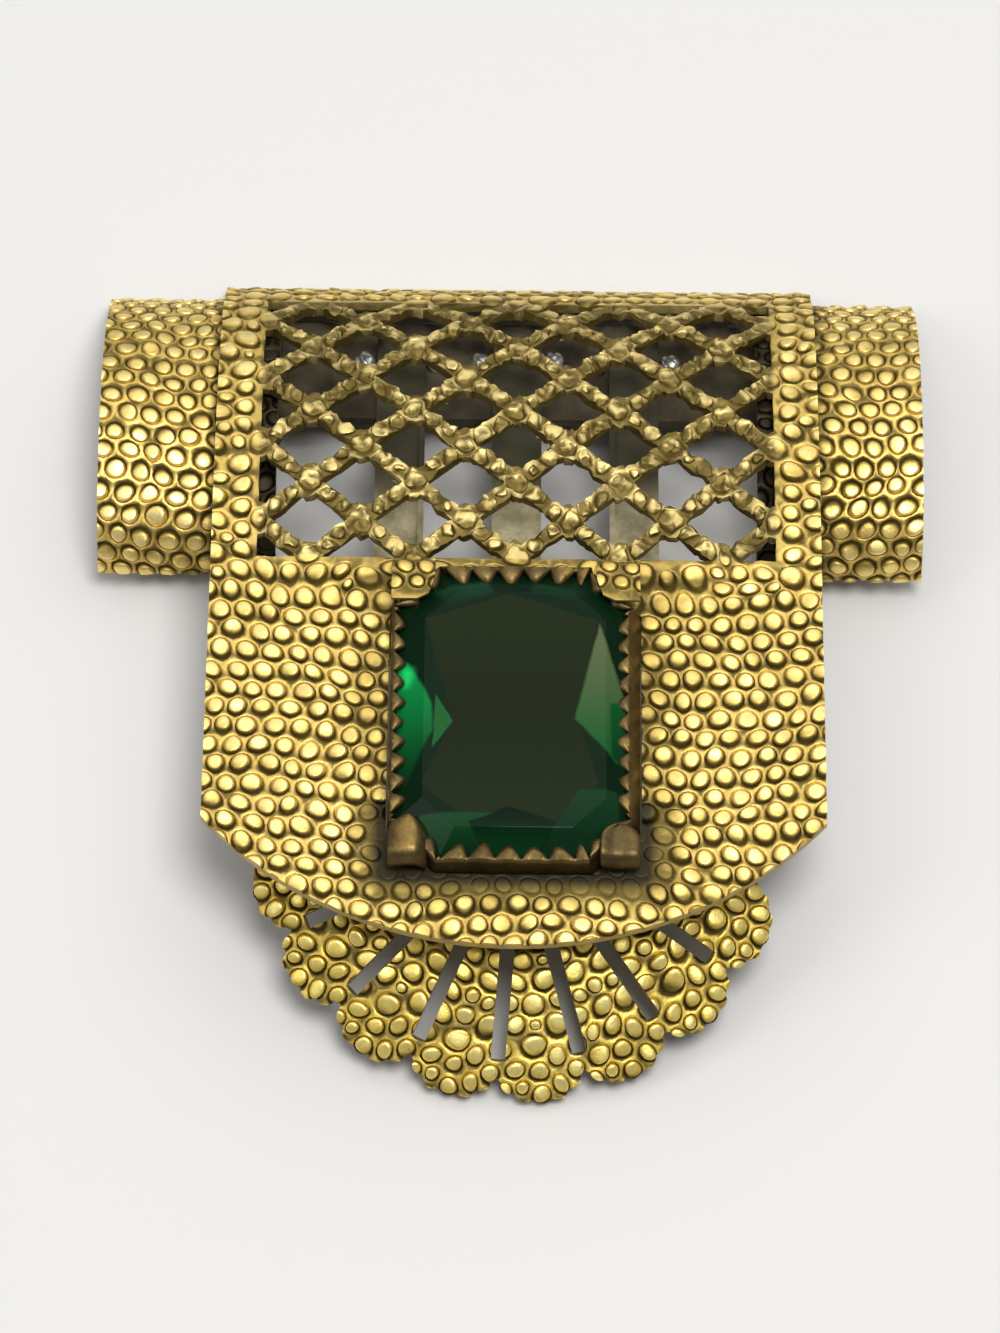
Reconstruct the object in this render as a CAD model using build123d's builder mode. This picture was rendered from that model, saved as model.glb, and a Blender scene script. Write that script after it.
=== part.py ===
from build123d import *
from math import asin, atan2, ceil, cos, floor, hypot, radians, sin, sqrt
import os

# A 1930s dress brooch, in millimetres. It lies on its back: +X is its right, +Y its top and
# +Z comes out of its face. A stamped plate, pierced as a lattice, is draped over a half-round
# bar. It carries a rectangular stone, and a scalloped fan hangs below it. The pin and its
# roll-over catch are soldered to a rail behind the bar.
# Z is 0 on the table, which the hinge, the catch and the tip of the fan all touch.

os.makedirs("parts", exist_ok=True)

# ---------------------------------------------------------------- driving dimensions

# sheet metal
sheet = 0.6              # pebbled brass sheet, over its pebbles
plain_sheet = 0.7        # plain brass of the rail
film = 0.1               # solder between two soldered pieces
cut_margin = 1.0         # how far cutting shapes reach past what they cut

# pin, hinge and catch
pin_r = 0.45
pin_tip_r = 0.12
pin_taper = 5.9          # length of the pin's point
pin_root = 1.9           # from the hinge's axis to the end of the pin's thick root
pin_root_r = 0.55
hardware_inset = 6.0     # from the bar's ends to the hinge and to the catch's middle
tip_past_catch = 1.9
pin_behind_edge = 3.6    # the pin lies this far behind the rail's front edge
knuckle_r = 0.8
knuckle_width = 1.2
rivet_r = 0.35
rivet_head_r = 0.6
rivet_head = 0.3
rivet_bevel = 0.15
running_gap = 0.05       # all running fits, on the radius or on each side
ear = 0.5                # thickness of the hinge's two ears
hinge_base = 0.4
hinge_base_length = 3.4
catch_r = 1.35           # also the radius of the hinge's ears: both lie on the table
catch_wall = 0.4
catch_length = 2.4
catch_mouth = 1.1        # width of the slot that lets the pin in
catch_base = 0.4
catch_base_width = 3.2
rotor_bore_r = 0.5
rotor_flange = 0.4
rotor_flange_r = 1.15
lever_reach = 2.3        # from the rotor's axis to the lever's end
lever_width = 0.9
lever = 0.6              # thickness of the lever

# rail, bar and plate, seen from the side
rail_over_pin = 1.5      # from the pin's axis to the rail
rail_width = 6.5
rail_inset = 0.5         # the rail stops short of the bar's ends
face_over_rail = 4.65    # from the rail's top to the plate's face
flat_run = 5.0           # the plate stays flat this far above the lattice's lower edge
slope_r = 34.0
slope_turn = 18.5
roll_r = 13.0
roll_turn = 42.0
bar_length = 47.0
bar_sheet = 0.6
wing_lap = 3.4           # length of each wing that lies under the plate
bar_rear_turn = 45.0
bar_rear_angle = 58.0    # slope of the bar at its rear edge
bar_crest_r = 14.0
bar_crest_turn = 39.0
bar_front_r = 5.0
bar_front_turn = 50.0
bar_shift = -0.35        # the bar was soldered a little to the left

# plate, seen from the front
plate_width = 34.2
corner_drop = 16.6       # from the lattice's lower edge to the plate's two corners
bow_drop = 24.3          # and to the middle of its bowed lower edge

# lattice
lattice_columns = 5
lattice_rows = 8         # steps of half a diamond
column_pitch = 5.82
row_pitch = 2.55
strut = 0.95
boss_rise = 1.08         # half height of the boss where struts cross
boss_r = 0.8

# stone and its setting
stone_width = 13.0
stone_length = 18.0
stone_corner = 2.4
stone_under_lattice = 1.5  # from the lattice's lower edge to the stone
table_width = 9.6
table_length = 12.6
girdle_height = 0.26     # above the plate's face
girdle = 0.3
crown = 0.9
culet_width = 3.0
culet_corner = 1.0
pavilion = 2.6
setting_wall = 0.35
setting_floor = 0.35
setting_gap = 0.05
foil = 0.1
side_teeth = 11
end_teeth = 6
tooth_reach = 0.65
tooth_sheet = 0.3
claw_width = 2.2
claw_reach = 3.0
claw_lean = 12.0         # degrees, inwards
tab_width = 2.4
tab_reach = 3.6
tab_corner = 0.8
tab_post = 0.5

# fan
fan_tip_r = 15.0
lobe_count = 8
lobe_pitch = 20.5        # degrees
lobe_r = 2.8
fan_turn = 4.5           # the fan sits a little turned, as soldered
fan_dome_r = 40.0
fan_hub_drop = 17.4      # from the lattice's lower edge to the middle of the fan's circle
fan_shift = 0.25         # and a little to the right
fan_touch = 3.2          # from that middle to where the fan meets the plate
slot_width = 0.8
slot_start_r = 5.0
slot_end_r = 12.7
fan_cup_gap = 0.3        # between the fan and the setting's cup

# straps
strap_width = 2.8
strap_sheet = 0.6
strap_pitch = 6.7
strap_foot = 5.2         # length that lies on the rail
strap_pad = 4.0          # length under the stone's setting
strap_flange = 0.8       # height of the outer straps' inner flange
flange_gap = 0.2         # the flange stops short of the setting's cup
bead_r = 0.7             # solder beads
bead_height = 0.45
bead_slope = 38.0        # degrees, from upright

# pebbles: low studs that stand in the source for the finer ones of the real sheet
pebble_pitch = 2.2
pebble_r = 0.9           # at the foot
pebble_slope = 50.0      # degrees, from upright
pebble_rise = 0.25       # the sheet is this much thinner between its pebbles
pebble_sink = 0.05       # each reaches this far into the sheet, which may be curved
pebble_sides = 4

# ---------------------------------------------------------------- heights and places

catch_x = bar_length / 2 - hardware_inset   # middle of the catch's barrel
hinge_x = -catch_x
pin_z = catch_r
rail_z = pin_z + rail_over_pin
rail_top = rail_z + plain_sheet
face_z = rail_top + face_over_rail
back_z = face_z - sheet

pebble_row_step = pebble_pitch * sqrt(3) / 2

# The fan is tilted until the lower edge of its tip reaches the table.
fan_touch_sag = fan_dome_r - sqrt(fan_dome_r**2 - fan_touch**2)
fan_tip_sag = fan_dome_r - sqrt((fan_dome_r - sheet) ** 2 - fan_tip_r**2)
fan_chord = hypot(fan_tip_r - fan_touch, fan_tip_sag - fan_touch_sag)
fan_chord_angle = asin((back_z - film) / fan_chord)
fan_tilt = fan_chord_angle - atan2(fan_tip_sag - fan_touch_sag, fan_tip_r - fan_touch)
fan_reach = (
    fan_hub_drop + fan_tip_r * cos(fan_tilt)
    - (fan_dome_r - sqrt(fan_dome_r**2 - fan_tip_r**2)) * sin(fan_tilt)
)

# Side view of the plate's roll, measured from the lattice's lower edge.
slope_end_y = flat_run + slope_r * sin(radians(slope_turn))
slope_end_drop = slope_r * (1 - cos(radians(slope_turn)))
roll_y = slope_end_y - roll_r * sin(radians(slope_turn))
roll_drop = slope_end_drop + roll_r * cos(radians(slope_turn))
rear_reach = roll_y + roll_r * sin(radians(slope_turn + roll_turn))

lattice_y = (fan_reach - rear_reach) / 2   # puts the brooch's middle on the origin
roll_center = Vector(0, lattice_y + roll_y, face_z - roll_drop)

bar_r = roll_r - sheet - film
rail_rear_y = roll_center.Y + sqrt((bar_r - bar_sheet) ** 2 - (rail_top - roll_center.Z) ** 2)
rail_front_y = rail_rear_y - rail_width
pin_y = rail_front_y + pin_behind_edge

window_width = lattice_columns * column_pitch
window_height = lattice_rows * row_pitch

stone_y = lattice_y - stone_under_lattice - stone_length / 2
girdle_z = face_z + girdle_height
setting_grow = setting_gap + setting_wall
setting_width = stone_width + 2 * setting_grow
setting_length = stone_length + 2 * setting_grow
cup_floor_z = girdle_z - pavilion - foil
cup_z = cup_floor_z - setting_floor
tooth_z = girdle_z + girdle + crown * tooth_reach / ((stone_width - table_width) / 2) + film
claw_z = tooth_z + tooth_sheet

hub_y = lattice_y - fan_hub_drop
hub_z = back_z - film + fan_touch * sin(fan_tilt) + fan_touch_sag * cos(fan_tilt)


def octagon(width, length, corner):
    """Adds a rectangle with cut corners."""
    outline = Rectangle(width, length)
    chamfer(outline.vertices(), corner)


def stone_outline(grow=0):
    """Adds the outline of the stone, offset outwards."""
    octagon(stone_width + 2 * grow, stone_length + 2 * grow,
            stone_corner + (2 - sqrt(2)) * grow)


# ---------------------------------------------------------------- front plate

# The face line runs up the middle of the plate's face, from its lower edge to its rear edge.
with BuildLine(Plane.YZ) as face_line:
    flat = Line((lattice_y - bow_drop, face_z), (lattice_y + flat_run, face_z))
    slope = JernArc(flat @ 1, flat % 1, slope_r, -slope_turn)
    roll = JernArc(slope @ 1, slope % 1, roll_r, -roll_turn)
face_wire = face_line.wires()[0]
face_run = bow_drop + flat_run + radians(slope_turn) * slope_r + radians(roll_turn) * roll_r


def on_face(wire, run, side=1):
    """A plane on sheet, at a distance from the start of its side view, round the bends."""
    spot = wire.position_at(run, position_mode=PositionMode.LENGTH)
    along = wire.tangent_at(run, position_mode=PositionMode.LENGTH)
    return Plane(spot, x_dir=(1, 0, 0), z_dir=(0, -side * along.Z, side * along.Y))


def pebble_row(plane, places, width=pebble_r):
    """Low studs along a row, with their tops on a plane."""
    if places:
        depth = pebble_rise + pebble_sink
        with BuildSketch(plane.offset(-depth)) as feet:
            with Locations(*[(x, 0) for x in places]):
                RegularPolygon(width, pebble_sides)
        extrude(feet.sketch, amount=depth, taper=pebble_slope)


def staggered(row, low, high):
    """Places along one row of a staggered pattern, between two limits."""
    first = ceil(low / pebble_pitch - row % 2 / 2)
    last = floor(high / pebble_pitch - row % 2 / 2)
    return [(k + row % 2 / 2) * pebble_pitch for k in range(first, last + 1)]


def carries_pebble(x, run):
    """Whether a pebble fits on the plate, clear of its edges, lattice and opening."""
    bow_r = (plate_width**2 / 4 + (bow_drop - corner_drop)**2) / 2 / (bow_drop - corner_drop)
    room = pebble_r + 0.1
    over_window = abs(x) < window_width / 2 + room and (
        -room < run - bow_drop < window_height + room)
    over_stone = abs(x) < setting_width / 2 + room and (
        abs(run - bow_drop + stone_under_lattice + stone_length / 2)
        < setting_length / 2 + room)
    below_bow = run < bow_r and hypot(x, bow_r - run) > bow_r - room
    return not (over_window or over_stone or below_bow)


with BuildPart() as front_plate:
    with BuildSketch(Plane.YZ):
        with BuildLine():
            base_flat = Line((lattice_y - bow_drop, face_z - pebble_rise),
                             (lattice_y + flat_run, face_z - pebble_rise))
            base_slope = JernArc(base_flat @ 1, base_flat % 1, slope_r - pebble_rise,
                                 -slope_turn)
            JernArc(base_slope @ 1, base_slope % 1, roll_r - pebble_rise, -roll_turn)
            offset(amount=sheet - pebble_rise, side=Side.RIGHT)
        make_face()
    extrude(amount=plate_width / 2, both=True)

    # plan outline with its bowed lower edge
    with BuildSketch():
        with BuildLine():
            bow = ThreePointArc(
                (-plate_width / 2, lattice_y - corner_drop),
                (0, lattice_y - bow_drop),
                (plate_width / 2, lattice_y - corner_drop),
            )
            Polyline(
                bow @ 1,
                (plate_width / 2, lattice_y + rear_reach + cut_margin),
                (-plate_width / 2, lattice_y + rear_reach + cut_margin),
                bow @ 0,
            )
        make_face()
    extrude(amount=face_z + cut_margin, mode=Mode.INTERSECT)

    # opening for the stone's setting
    with BuildSketch(Plane((0, stone_y, 0))):
        stone_outline(setting_grow + film)
    extrude(amount=face_z + cut_margin, mode=Mode.SUBTRACT)

    # lattice: rows of diamonds, cut square to the face, each row half a diamond further on
    half_width = column_pitch / 2
    hole_depth = sheet + row_pitch**2 / roll_r   # through the sheet and its curve
    inset = 1 - strut / 2 * hypot(half_width, row_pitch) / (half_width * row_pitch)
    hole_x = half_width * inset
    hole_top = row_pitch - boss_rise
    hole_top_x = hole_x * (1 - hole_top / (row_pitch * inset))
    for row in range(lattice_rows + 1):
        run = bow_drop + row * row_pitch
        columns = lattice_columns + (1 if row % 2 == 0 else 0)
        with BuildSketch(on_face(face_wire, run)):
            with GridLocations(column_pitch, 1, columns, 1):
                Polygon(
                    (hole_x, 0),
                    (hole_top_x, hole_top),
                    (-hole_top_x, hole_top),
                    (-hole_x, 0),
                    (-hole_top_x, -hole_top),
                    (hole_top_x, -hole_top),
                    align=None,
                )
            with Locations((0, (lattice_rows / 2 - row) * row_pitch)):
                Rectangle(window_width, window_height, mode=Mode.INTERSECT)
        extrude(amount=hole_depth, both=True, mode=Mode.SUBTRACT)

    # pebbles, and a boss wherever the lattice's struts cross
    for row in range(1, int(face_run / pebble_row_step)):
        run = row * pebble_row_step
        side_limit = plate_width / 2 - pebble_r
        places = [x for x in staggered(row, -side_limit, side_limit)
                  if carries_pebble(x, run)]
        pebble_row(on_face(face_wire, run), places)
    for row in range(1, lattice_rows):
        columns = lattice_columns - row % 2
        places = [(k - (columns - 1) / 2) * column_pitch for k in range(columns)]
        pebble_row(on_face(face_wire, bow_drop + row * row_pitch), places, boss_r)

    # two tabs, left standing above the setting and folded over the stone's upper corners
    tab_x = (setting_width - tab_width) / 2
    post_y = lattice_y - tab_post / 2 - film
    with Locations((-tab_x, post_y, back_z), (tab_x, post_y, back_z)):
        Box(tab_width, tab_post, claw_z + tooth_sheet - back_z,
            align=(Align.CENTER, Align.CENTER, Align.MIN))
    with BuildSketch(Plane.XY.offset(claw_z)):
        with Locations((-tab_x, lattice_y - film), (tab_x, lattice_y - film)):
            RectangleRounded(tab_width, 2 * tab_reach, tab_corner)
        with Locations((0, lattice_y - film)):
            Rectangle(plate_width, tab_reach, align=(Align.CENTER, Align.MAX),
                      mode=Mode.INTERSECT)
    extrude(amount=tooth_sheet)
front_plate.part.label = "front_plate"
export_step(front_plate.part, "parts/front_plate.step")


# ---------------------------------------------------------------- bar: two wings and a rail

def bar_arcs(below=0):
    """Side view of the bar's top, or of a line below it, from its rear edge to its front."""
    rear_r = bar_r - below
    across, upward = sin(radians(bar_rear_angle)), cos(radians(bar_rear_angle))
    rear = JernArc((roll_center.Y + rear_r * across, roll_center.Z + rear_r * upward),
                   (-upward, across), rear_r, bar_rear_turn)
    crest = JernArc(rear @ 1, rear % 1, bar_crest_r - below, bar_crest_turn)
    JernArc(crest @ 1, crest % 1, bar_front_r - below, bar_front_turn)


with BuildLine(Plane.YZ) as bar_line:
    bar_arcs()
bar_wire = bar_line.wires()[0]

for wing_name, side in (("left_wing", -1), ("right_wing", 1)):
    outer_x = side * bar_length / 2 + bar_shift
    inner_x = side * (plate_width / 2 - wing_lap)
    with BuildPart() as wing:
        with BuildSketch(Plane.YZ.offset(outer_x)):
            with BuildLine():
                bar_arcs(pebble_rise)
                offset(amount=bar_sheet - pebble_rise, side=Side.LEFT)
            make_face()
        extrude(amount=inner_x - outer_x)
        # pebbles on the part that the plate leaves in view
        low_x, high_x = sorted((outer_x, side * plate_width / 2))
        for row in range(1, int(bar_wire.length / pebble_row_step)):
            places = staggered(row, low_x + pebble_r, high_x - pebble_r)
            pebble_row(on_face(bar_wire, row * pebble_row_step, -1), places)
    wing.part.label = wing_name
    export_step(wing.part, f"parts/{wing_name}.step")

with BuildPart() as back_rail:
    with Locations((0, rail_rear_y, rail_z)):
        Box(bar_length - 2 * rail_inset, rail_width, plain_sheet,
            align=(Align.CENTER, Align.MAX, Align.MIN))
    fillet(back_rail.edges().filter_by(Axis.Z).group_by(Axis.Y)[0], plain_sheet)
back_rail.part.label = "back_rail"
export_step(back_rail.part, "parts/back_rail.step")

# ---------------------------------------------------------------- straps

# Each strap lies on the rail, rises under the lattice and ends as a pad under the setting.
strap_back_y = rail_front_y + strap_foot
pad_rear_y = stone_y + setting_length / 2
pad_front_y = pad_rear_y - strap_pad
strap_run = rail_front_y - pad_rear_y
flange_root_z = rail_top + strap_sheet / 2
for strap_name, place in (("strap_left", -1), ("strap_center", 0), ("strap_right", 1)):
    strap_x = place * strap_pitch
    with BuildPart() as strap:
        with BuildSketch(Plane.YZ.offset(strap_x)):
            with BuildLine():
                Polyline(
                    (strap_back_y, rail_top),
                    (rail_front_y, rail_top),
                    (pad_rear_y, cup_z - strap_sheet),
                    (pad_front_y, cup_z - strap_sheet),
                    (pad_front_y, cup_z),
                    (pad_rear_y, cup_z),
                    (rail_front_y, rail_top + strap_sheet),
                    (strap_back_y, rail_top + strap_sheet),
                    close=True,
                )
            make_face()
        extrude(amount=strap_width / 2, both=True)
        if place:
            # a narrow flange, bent up along the inner edge of each outer strap
            flange_run = strap_run - flange_gap
            flange_drop = (cup_z - strap_sheet / 2 - flange_root_z) * flange_run / strap_run
            with BuildSketch(Plane.YZ.offset(strap_x - place * strap_width / 2)):
                with BuildLine():
                    Polyline(
                        (rail_front_y, flange_root_z),
                        (rail_front_y - flange_run, flange_root_z + flange_drop),
                        (rail_front_y - flange_run,
                         flange_root_z + flange_drop + strap_flange),
                        (rail_front_y, flange_root_z + strap_flange),
                        close=True,
                    )
                make_face()
            extrude(amount=place * strap_sheet / 2)
    strap.part.label = strap_name
    export_step(strap.part, f"parts/{strap_name}.step")

# solder beads on the rail, against both sides of each strap
with BuildPart() as solder_beads:
    bead_x = strap_width / 2 + bead_r
    bead_places = [
        (place * strap_pitch + side * bead_x, rail_front_y + strap_foot - 2 * bead_r)
        for place in (-1, 0, 1)
        for side in (-1, 1)
    ]
    with BuildSketch(Plane.XY.offset(rail_top)):
        with Locations(*bead_places):
            RegularPolygon(bead_r, 6)
    extrude(amount=bead_height, taper=bead_slope)
solder_beads.part.label = "solder_beads"
export_step(solder_beads.part, "parts/solder_beads.step")

# ---------------------------------------------------------------- stone, foil and setting



def octagon_reach(width, length, corner):
    """How far a side, an end and a cut corner lie from the middle."""
    return width / 2, length / 2, (width / 2 + length / 2 - corner) / sqrt(2)


girdle_reach = octagon_reach(stone_width, stone_length, stone_corner)
table_reach = octagon_reach(table_width, table_length,
                            stone_corner * table_width / stone_width)
culet_reach = octagon_reach(culet_width, stone_length - stone_width + culet_width,
                            culet_corner)


def grind(start_z, rise, inner_reach):
    """Grinds eight facets, from the girdle's outline at one height to a smaller outline."""
    for turn in range(0, 360, 45):
        kind = 2 if turn % 90 else turn // 90 % 2
        outward = Vector(1, 0, 0).rotate(Axis.Z, turn)
        run = girdle_reach[kind] - inner_reach[kind]
        facet = Plane(
            Vector(0, stone_y, start_z) + outward * girdle_reach[kind],
            z_dir=outward * abs(rise) + Vector(0, 0, run if rise > 0 else -run),
        )
        split(bisect_by=facet, keep=Keep.BOTTOM)


with BuildPart() as stone:
    with BuildSketch(Plane((0, stone_y, girdle_z - pavilion))):
        stone_outline()
    extrude(amount=pavilion + girdle + crown)
    grind(girdle_z + girdle, crown, table_reach)
    grind(girdle_z, -pavilion, culet_reach)
stone.part.label = "stone"
export_step(stone.part, "parts/stone.step")

with BuildPart() as foil_backing:
    with BuildSketch(Plane((0, stone_y, cup_floor_z))):
        stone_outline()
    extrude(amount=pavilion)
    grind(girdle_z - foil, -pavilion, culet_reach)
    add(stone.part, mode=Mode.SUBTRACT)
foil_backing.part.label = "foil_backing"
export_step(foil_backing.part, "parts/foil_backing.step")

# plan outlines of the hole for the stone and of the two claws
with BuildSketch() as stone_hole:
    stone_outline(setting_gap)
with BuildSketch() as setting_outline:
    stone_outline(setting_grow)
with BuildSketch() as claws:
    for side in (-1, 1):
        with Locations((side * (setting_width - claw_width) / 2, -setting_length / 2)):
            SlotOverall(2 * claw_reach, claw_width, rotation=90 + side * claw_lean)
    add(setting_outline.sketch, mode=Mode.INTERSECT)

with BuildPart() as stone_setting:
    with BuildSketch(Plane((0, stone_y, cup_z))):
        add(setting_outline.sketch)
    extrude(amount=tooth_z - cup_z)
    with BuildSketch(Plane((0, stone_y, cup_floor_z))):
        add(stone_hole.sketch)
    extrude(amount=tooth_z - cup_floor_z, mode=Mode.SUBTRACT)

    # the rim, cut into pointed teeth that are folded in over the stone
    with BuildSketch(Plane((0, stone_y, tooth_z))):
        stone_outline(setting_grow)
        add(stone_hole.sketch, mode=Mode.SUBTRACT)
        for turn in (0, 90, 180, 270):
            across, along, teeth = (
                (stone_length, stone_width, end_teeth) if turn % 180
                else (stone_width, stone_length, side_teeth)
            )
            pitch = (along - 2 * stone_corner) / teeth
            root = across / 2 + setting_gap
            with Locations(Location((0, 0, 0), (0, 0, turn))):
                with GridLocations(1, pitch, 1, teeth):
                    Polygon((root, -pitch / 2), (root, pitch / 2), (root - tooth_reach, 0),
                            align=None)
    extrude(amount=tooth_sheet)

    # two plain claws, each standing on the wall and folded over a lower corner
    with BuildSketch(Plane((0, stone_y, tooth_z))):
        add(claws.sketch)
        add(stone_hole.sketch, mode=Mode.SUBTRACT)
    extrude(amount=claw_z - tooth_z)
    with BuildSketch(Plane((0, stone_y, claw_z))):
        add(claws.sketch)
    extrude(amount=tooth_sheet)
stone_setting.part.label = "stone_setting"
export_step(stone_setting.part, "parts/stone_setting.step")

# ---------------------------------------------------------------- fan

# A shallow dome of the same pebbled sheet, tilted down from the plate's underside.
fan_tilted = Plane((fan_shift, hub_y, hub_z), x_dir=(1, 0, 0),
                   z_dir=(0, -sin(fan_tilt), cos(fan_tilt)))
fan_plane = fan_tilted.rotated((0, 0, -fan_turn))
fan_angle = lobe_count * lobe_pitch
lobe_center_r = fan_tip_r - lobe_r
with BuildPart(fan_plane) as fan:
    with Locations((0, 0, -fan_dome_r)):
        Sphere(fan_dome_r, rotation=(90, 0, 0))
        Sphere(fan_dome_r - sheet, rotation=(90, 0, 0), mode=Mode.SUBTRACT)
    with BuildSketch(fan_plane):
        lower_side = -90 - fan_angle / 2
        with BuildLine():
            rim = CenterArc((0, 0), lobe_center_r, lower_side, fan_angle)
            Line(rim @ 0, (0, 0))
            Line((0, 0), rim @ 1)
        make_face()
        with PolarLocations(lobe_center_r, lobe_count, lower_side + lobe_pitch / 2,
                            fan_angle - lobe_pitch, endpoint=True):
            Circle(lobe_r)
        with PolarLocations((slot_start_r + slot_end_r) / 2, lobe_count - 1,
                            lower_side + lobe_pitch, fan_angle - 2 * lobe_pitch,
                            endpoint=True):
            Rectangle(slot_end_r - slot_start_r, slot_width, mode=Mode.SUBTRACT)
    extrude(amount=fan_dome_r / 2, both=True, mode=Mode.INTERSECT)
    # trimmed where it meets the plate's underside and clear of the setting's cup
    split(bisect_by=Plane.XY.offset(back_z - film), keep=Keep.BOTTOM)
    with BuildSketch(Plane((0, stone_y, 0))):
        Rectangle(setting_width + 2 * fan_cup_gap, setting_length + 2 * fan_cup_gap)
    extrude(amount=face_z, mode=Mode.SUBTRACT)
fan.part.label = "fan"
export_step(fan.part, "parts/fan.step")

# ---------------------------------------------------------------- hinge and pin

side_view = Plane.XZ.offset(-pin_y)   # through the pin, seen from the brooch's lower edge
ear_gap = knuckle_width + 2 * running_gap
bracket_width = ear_gap + 2 * ear
with BuildPart() as hinge_bracket:
    with BuildSketch(side_view):
        with Locations((hinge_x, pin_z)):
            Circle(catch_r)
            Rectangle(2 * catch_r, rail_z - pin_z, align=(Align.CENTER, Align.MIN))
        with Locations((hinge_x - catch_r, rail_z)):
            Rectangle(hinge_base_length, hinge_base, align=(Align.MIN, Align.MAX))
    extrude(amount=bracket_width / 2, both=True)
    with BuildSketch(side_view):
        with Locations((hinge_x, rail_z - hinge_base)):
            Rectangle(2 * hinge_base_length, rail_z, align=(Align.CENTER, Align.MAX))
    extrude(amount=ear_gap / 2, both=True, mode=Mode.SUBTRACT)
    with BuildSketch(side_view):
        with Locations((hinge_x, pin_z)):
            Circle(rivet_r)
    extrude(amount=bracket_width, both=True, mode=Mode.SUBTRACT)
hinge_bracket.part.label = "hinge_bracket"
export_step(hinge_bracket.part, "parts/hinge_bracket.step")

with BuildPart() as hinge_rivet:
    with BuildSketch(side_view):
        with Locations((hinge_x, pin_z)):
            Circle(rivet_r)
    extrude(amount=bracket_width / 2, both=True)
    for side in (-1, 1):
        with BuildSketch(side_view.offset(side * bracket_width / 2)):
            with Locations((hinge_x, pin_z)):
                Circle(rivet_head_r)
        extrude(amount=side * rivet_head)
    chamfer(hinge_rivet.faces().sort_by(Axis.Y)[0].edges(), rivet_bevel)
    chamfer(hinge_rivet.faces().sort_by(Axis.Y)[-1].edges(), rivet_bevel)
hinge_rivet.part.label = "hinge_rivet"
export_step(hinge_rivet.part, "parts/hinge_rivet.step")

pin_tip_x = catch_x + catch_length / 2 + rotor_flange + tip_past_catch
with BuildPart() as pin_stem:
    with BuildSketch(side_view):
        with Locations((hinge_x, pin_z)):
            Circle(knuckle_r)
    extrude(amount=knuckle_width / 2, both=True)
    with BuildSketch(side_view):
        with BuildLine():
            Polyline(
                (hinge_x, pin_z),
                (hinge_x, pin_z + pin_root_r),
                (hinge_x + pin_root, pin_z + pin_r),
                (pin_tip_x - pin_taper, pin_z + pin_r),
                (pin_tip_x, pin_z + pin_tip_r),
                (pin_tip_x, pin_z),
                close=True,
            )
        make_face()
    revolve(axis=Axis((hinge_x, pin_y, pin_z), (1, 0, 0)))
    with BuildSketch(side_view):
        with Locations((hinge_x, pin_z)):
            Circle(rivet_r + running_gap)
    extrude(amount=knuckle_width, both=True, mode=Mode.SUBTRACT)
pin_stem.part.label = "pin_stem"
export_step(pin_stem.part, "parts/pin_stem.step")

# ---------------------------------------------------------------- roll-over catch

catch_start = Plane.YZ.offset(catch_x - catch_length / 2)
with BuildPart() as catch_housing:
    with BuildSketch(catch_start):
        with Locations((pin_y, pin_z)):
            Circle(catch_r)
            Rectangle(catch_r, rail_z - pin_z, align=(Align.CENTER, Align.MIN))
        with Locations((pin_y, rail_z)):
            Rectangle(catch_base_width, catch_base, align=(Align.CENTER, Align.MAX))
        with Locations((pin_y, pin_z)):
            Circle(catch_r - catch_wall, mode=Mode.SUBTRACT)
            Rectangle(catch_mouth, catch_r, align=(Align.CENTER, Align.MAX),
                      mode=Mode.SUBTRACT)
    extrude(amount=catch_length)
catch_housing.part.label = "catch_housing"
export_step(catch_housing.part, "parts/catch_housing.step")

# The rotor turns in the barrel. At rest its slot is in line with the barrel's mouth.
rotor_r = catch_r - catch_wall - running_gap
rotor_start = catch_start.offset(-running_gap)
rotor_end = catch_start.offset(catch_length + running_gap)
rotor_length = rotor_flange + catch_length + 2 * running_gap + lever
with BuildPart() as catch_rotor:
    for start, length, radius in (
        (rotor_start, catch_length + 2 * running_gap, rotor_r),
        (rotor_start, -rotor_flange, rotor_flange_r),
        (rotor_end, lever, rotor_flange_r),
    ):
        with BuildSketch(start):
            with Locations((pin_y, pin_z)):
                Circle(radius)
        extrude(amount=length)
    with BuildSketch(rotor_end):
        with Locations((pin_y, pin_z)):
            SlotOverall(2 * lever_reach, lever_width)
            Rectangle(2 * lever_reach, lever_width, align=(Align.MIN, Align.CENTER),
                      mode=Mode.SUBTRACT)
    extrude(amount=lever)
    with BuildSketch(rotor_start.offset(-rotor_flange)):
        with Locations((pin_y, pin_z)):
            Circle(rotor_bore_r)
            Rectangle(2 * rotor_bore_r, catch_r, align=(Align.CENTER, Align.MAX))
    extrude(amount=rotor_length, mode=Mode.SUBTRACT)
catch_rotor.part.label = "catch_rotor"
export_step(catch_rotor.part, "parts/catch_rotor.step")
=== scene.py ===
# %% [markdown]
# # A dress brooch in pebbled brass
# The brooch lies on its back: +X is its right, +Y its top and +Z comes out of its face.
# A stamped plate, pierced as a lattice, is draped over a half-round bar. It carries a green
# rectangular stone in a saw-toothed setting, and a scalloped fan hangs below it. The
# mechanical model comes first, as a fixed frame. Everything made below is laid on it.

# %% Load the frame
from math import atan2, cos, degrees, hypot, pi, radians, sin, sqrt, tan
from random import Random

import bpy
import numpy as np
from mathutils import Matrix, Vector, noise
from mathutils.geometry import delaunay_2d_cdt
from mathutils.kdtree import KDTree


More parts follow.
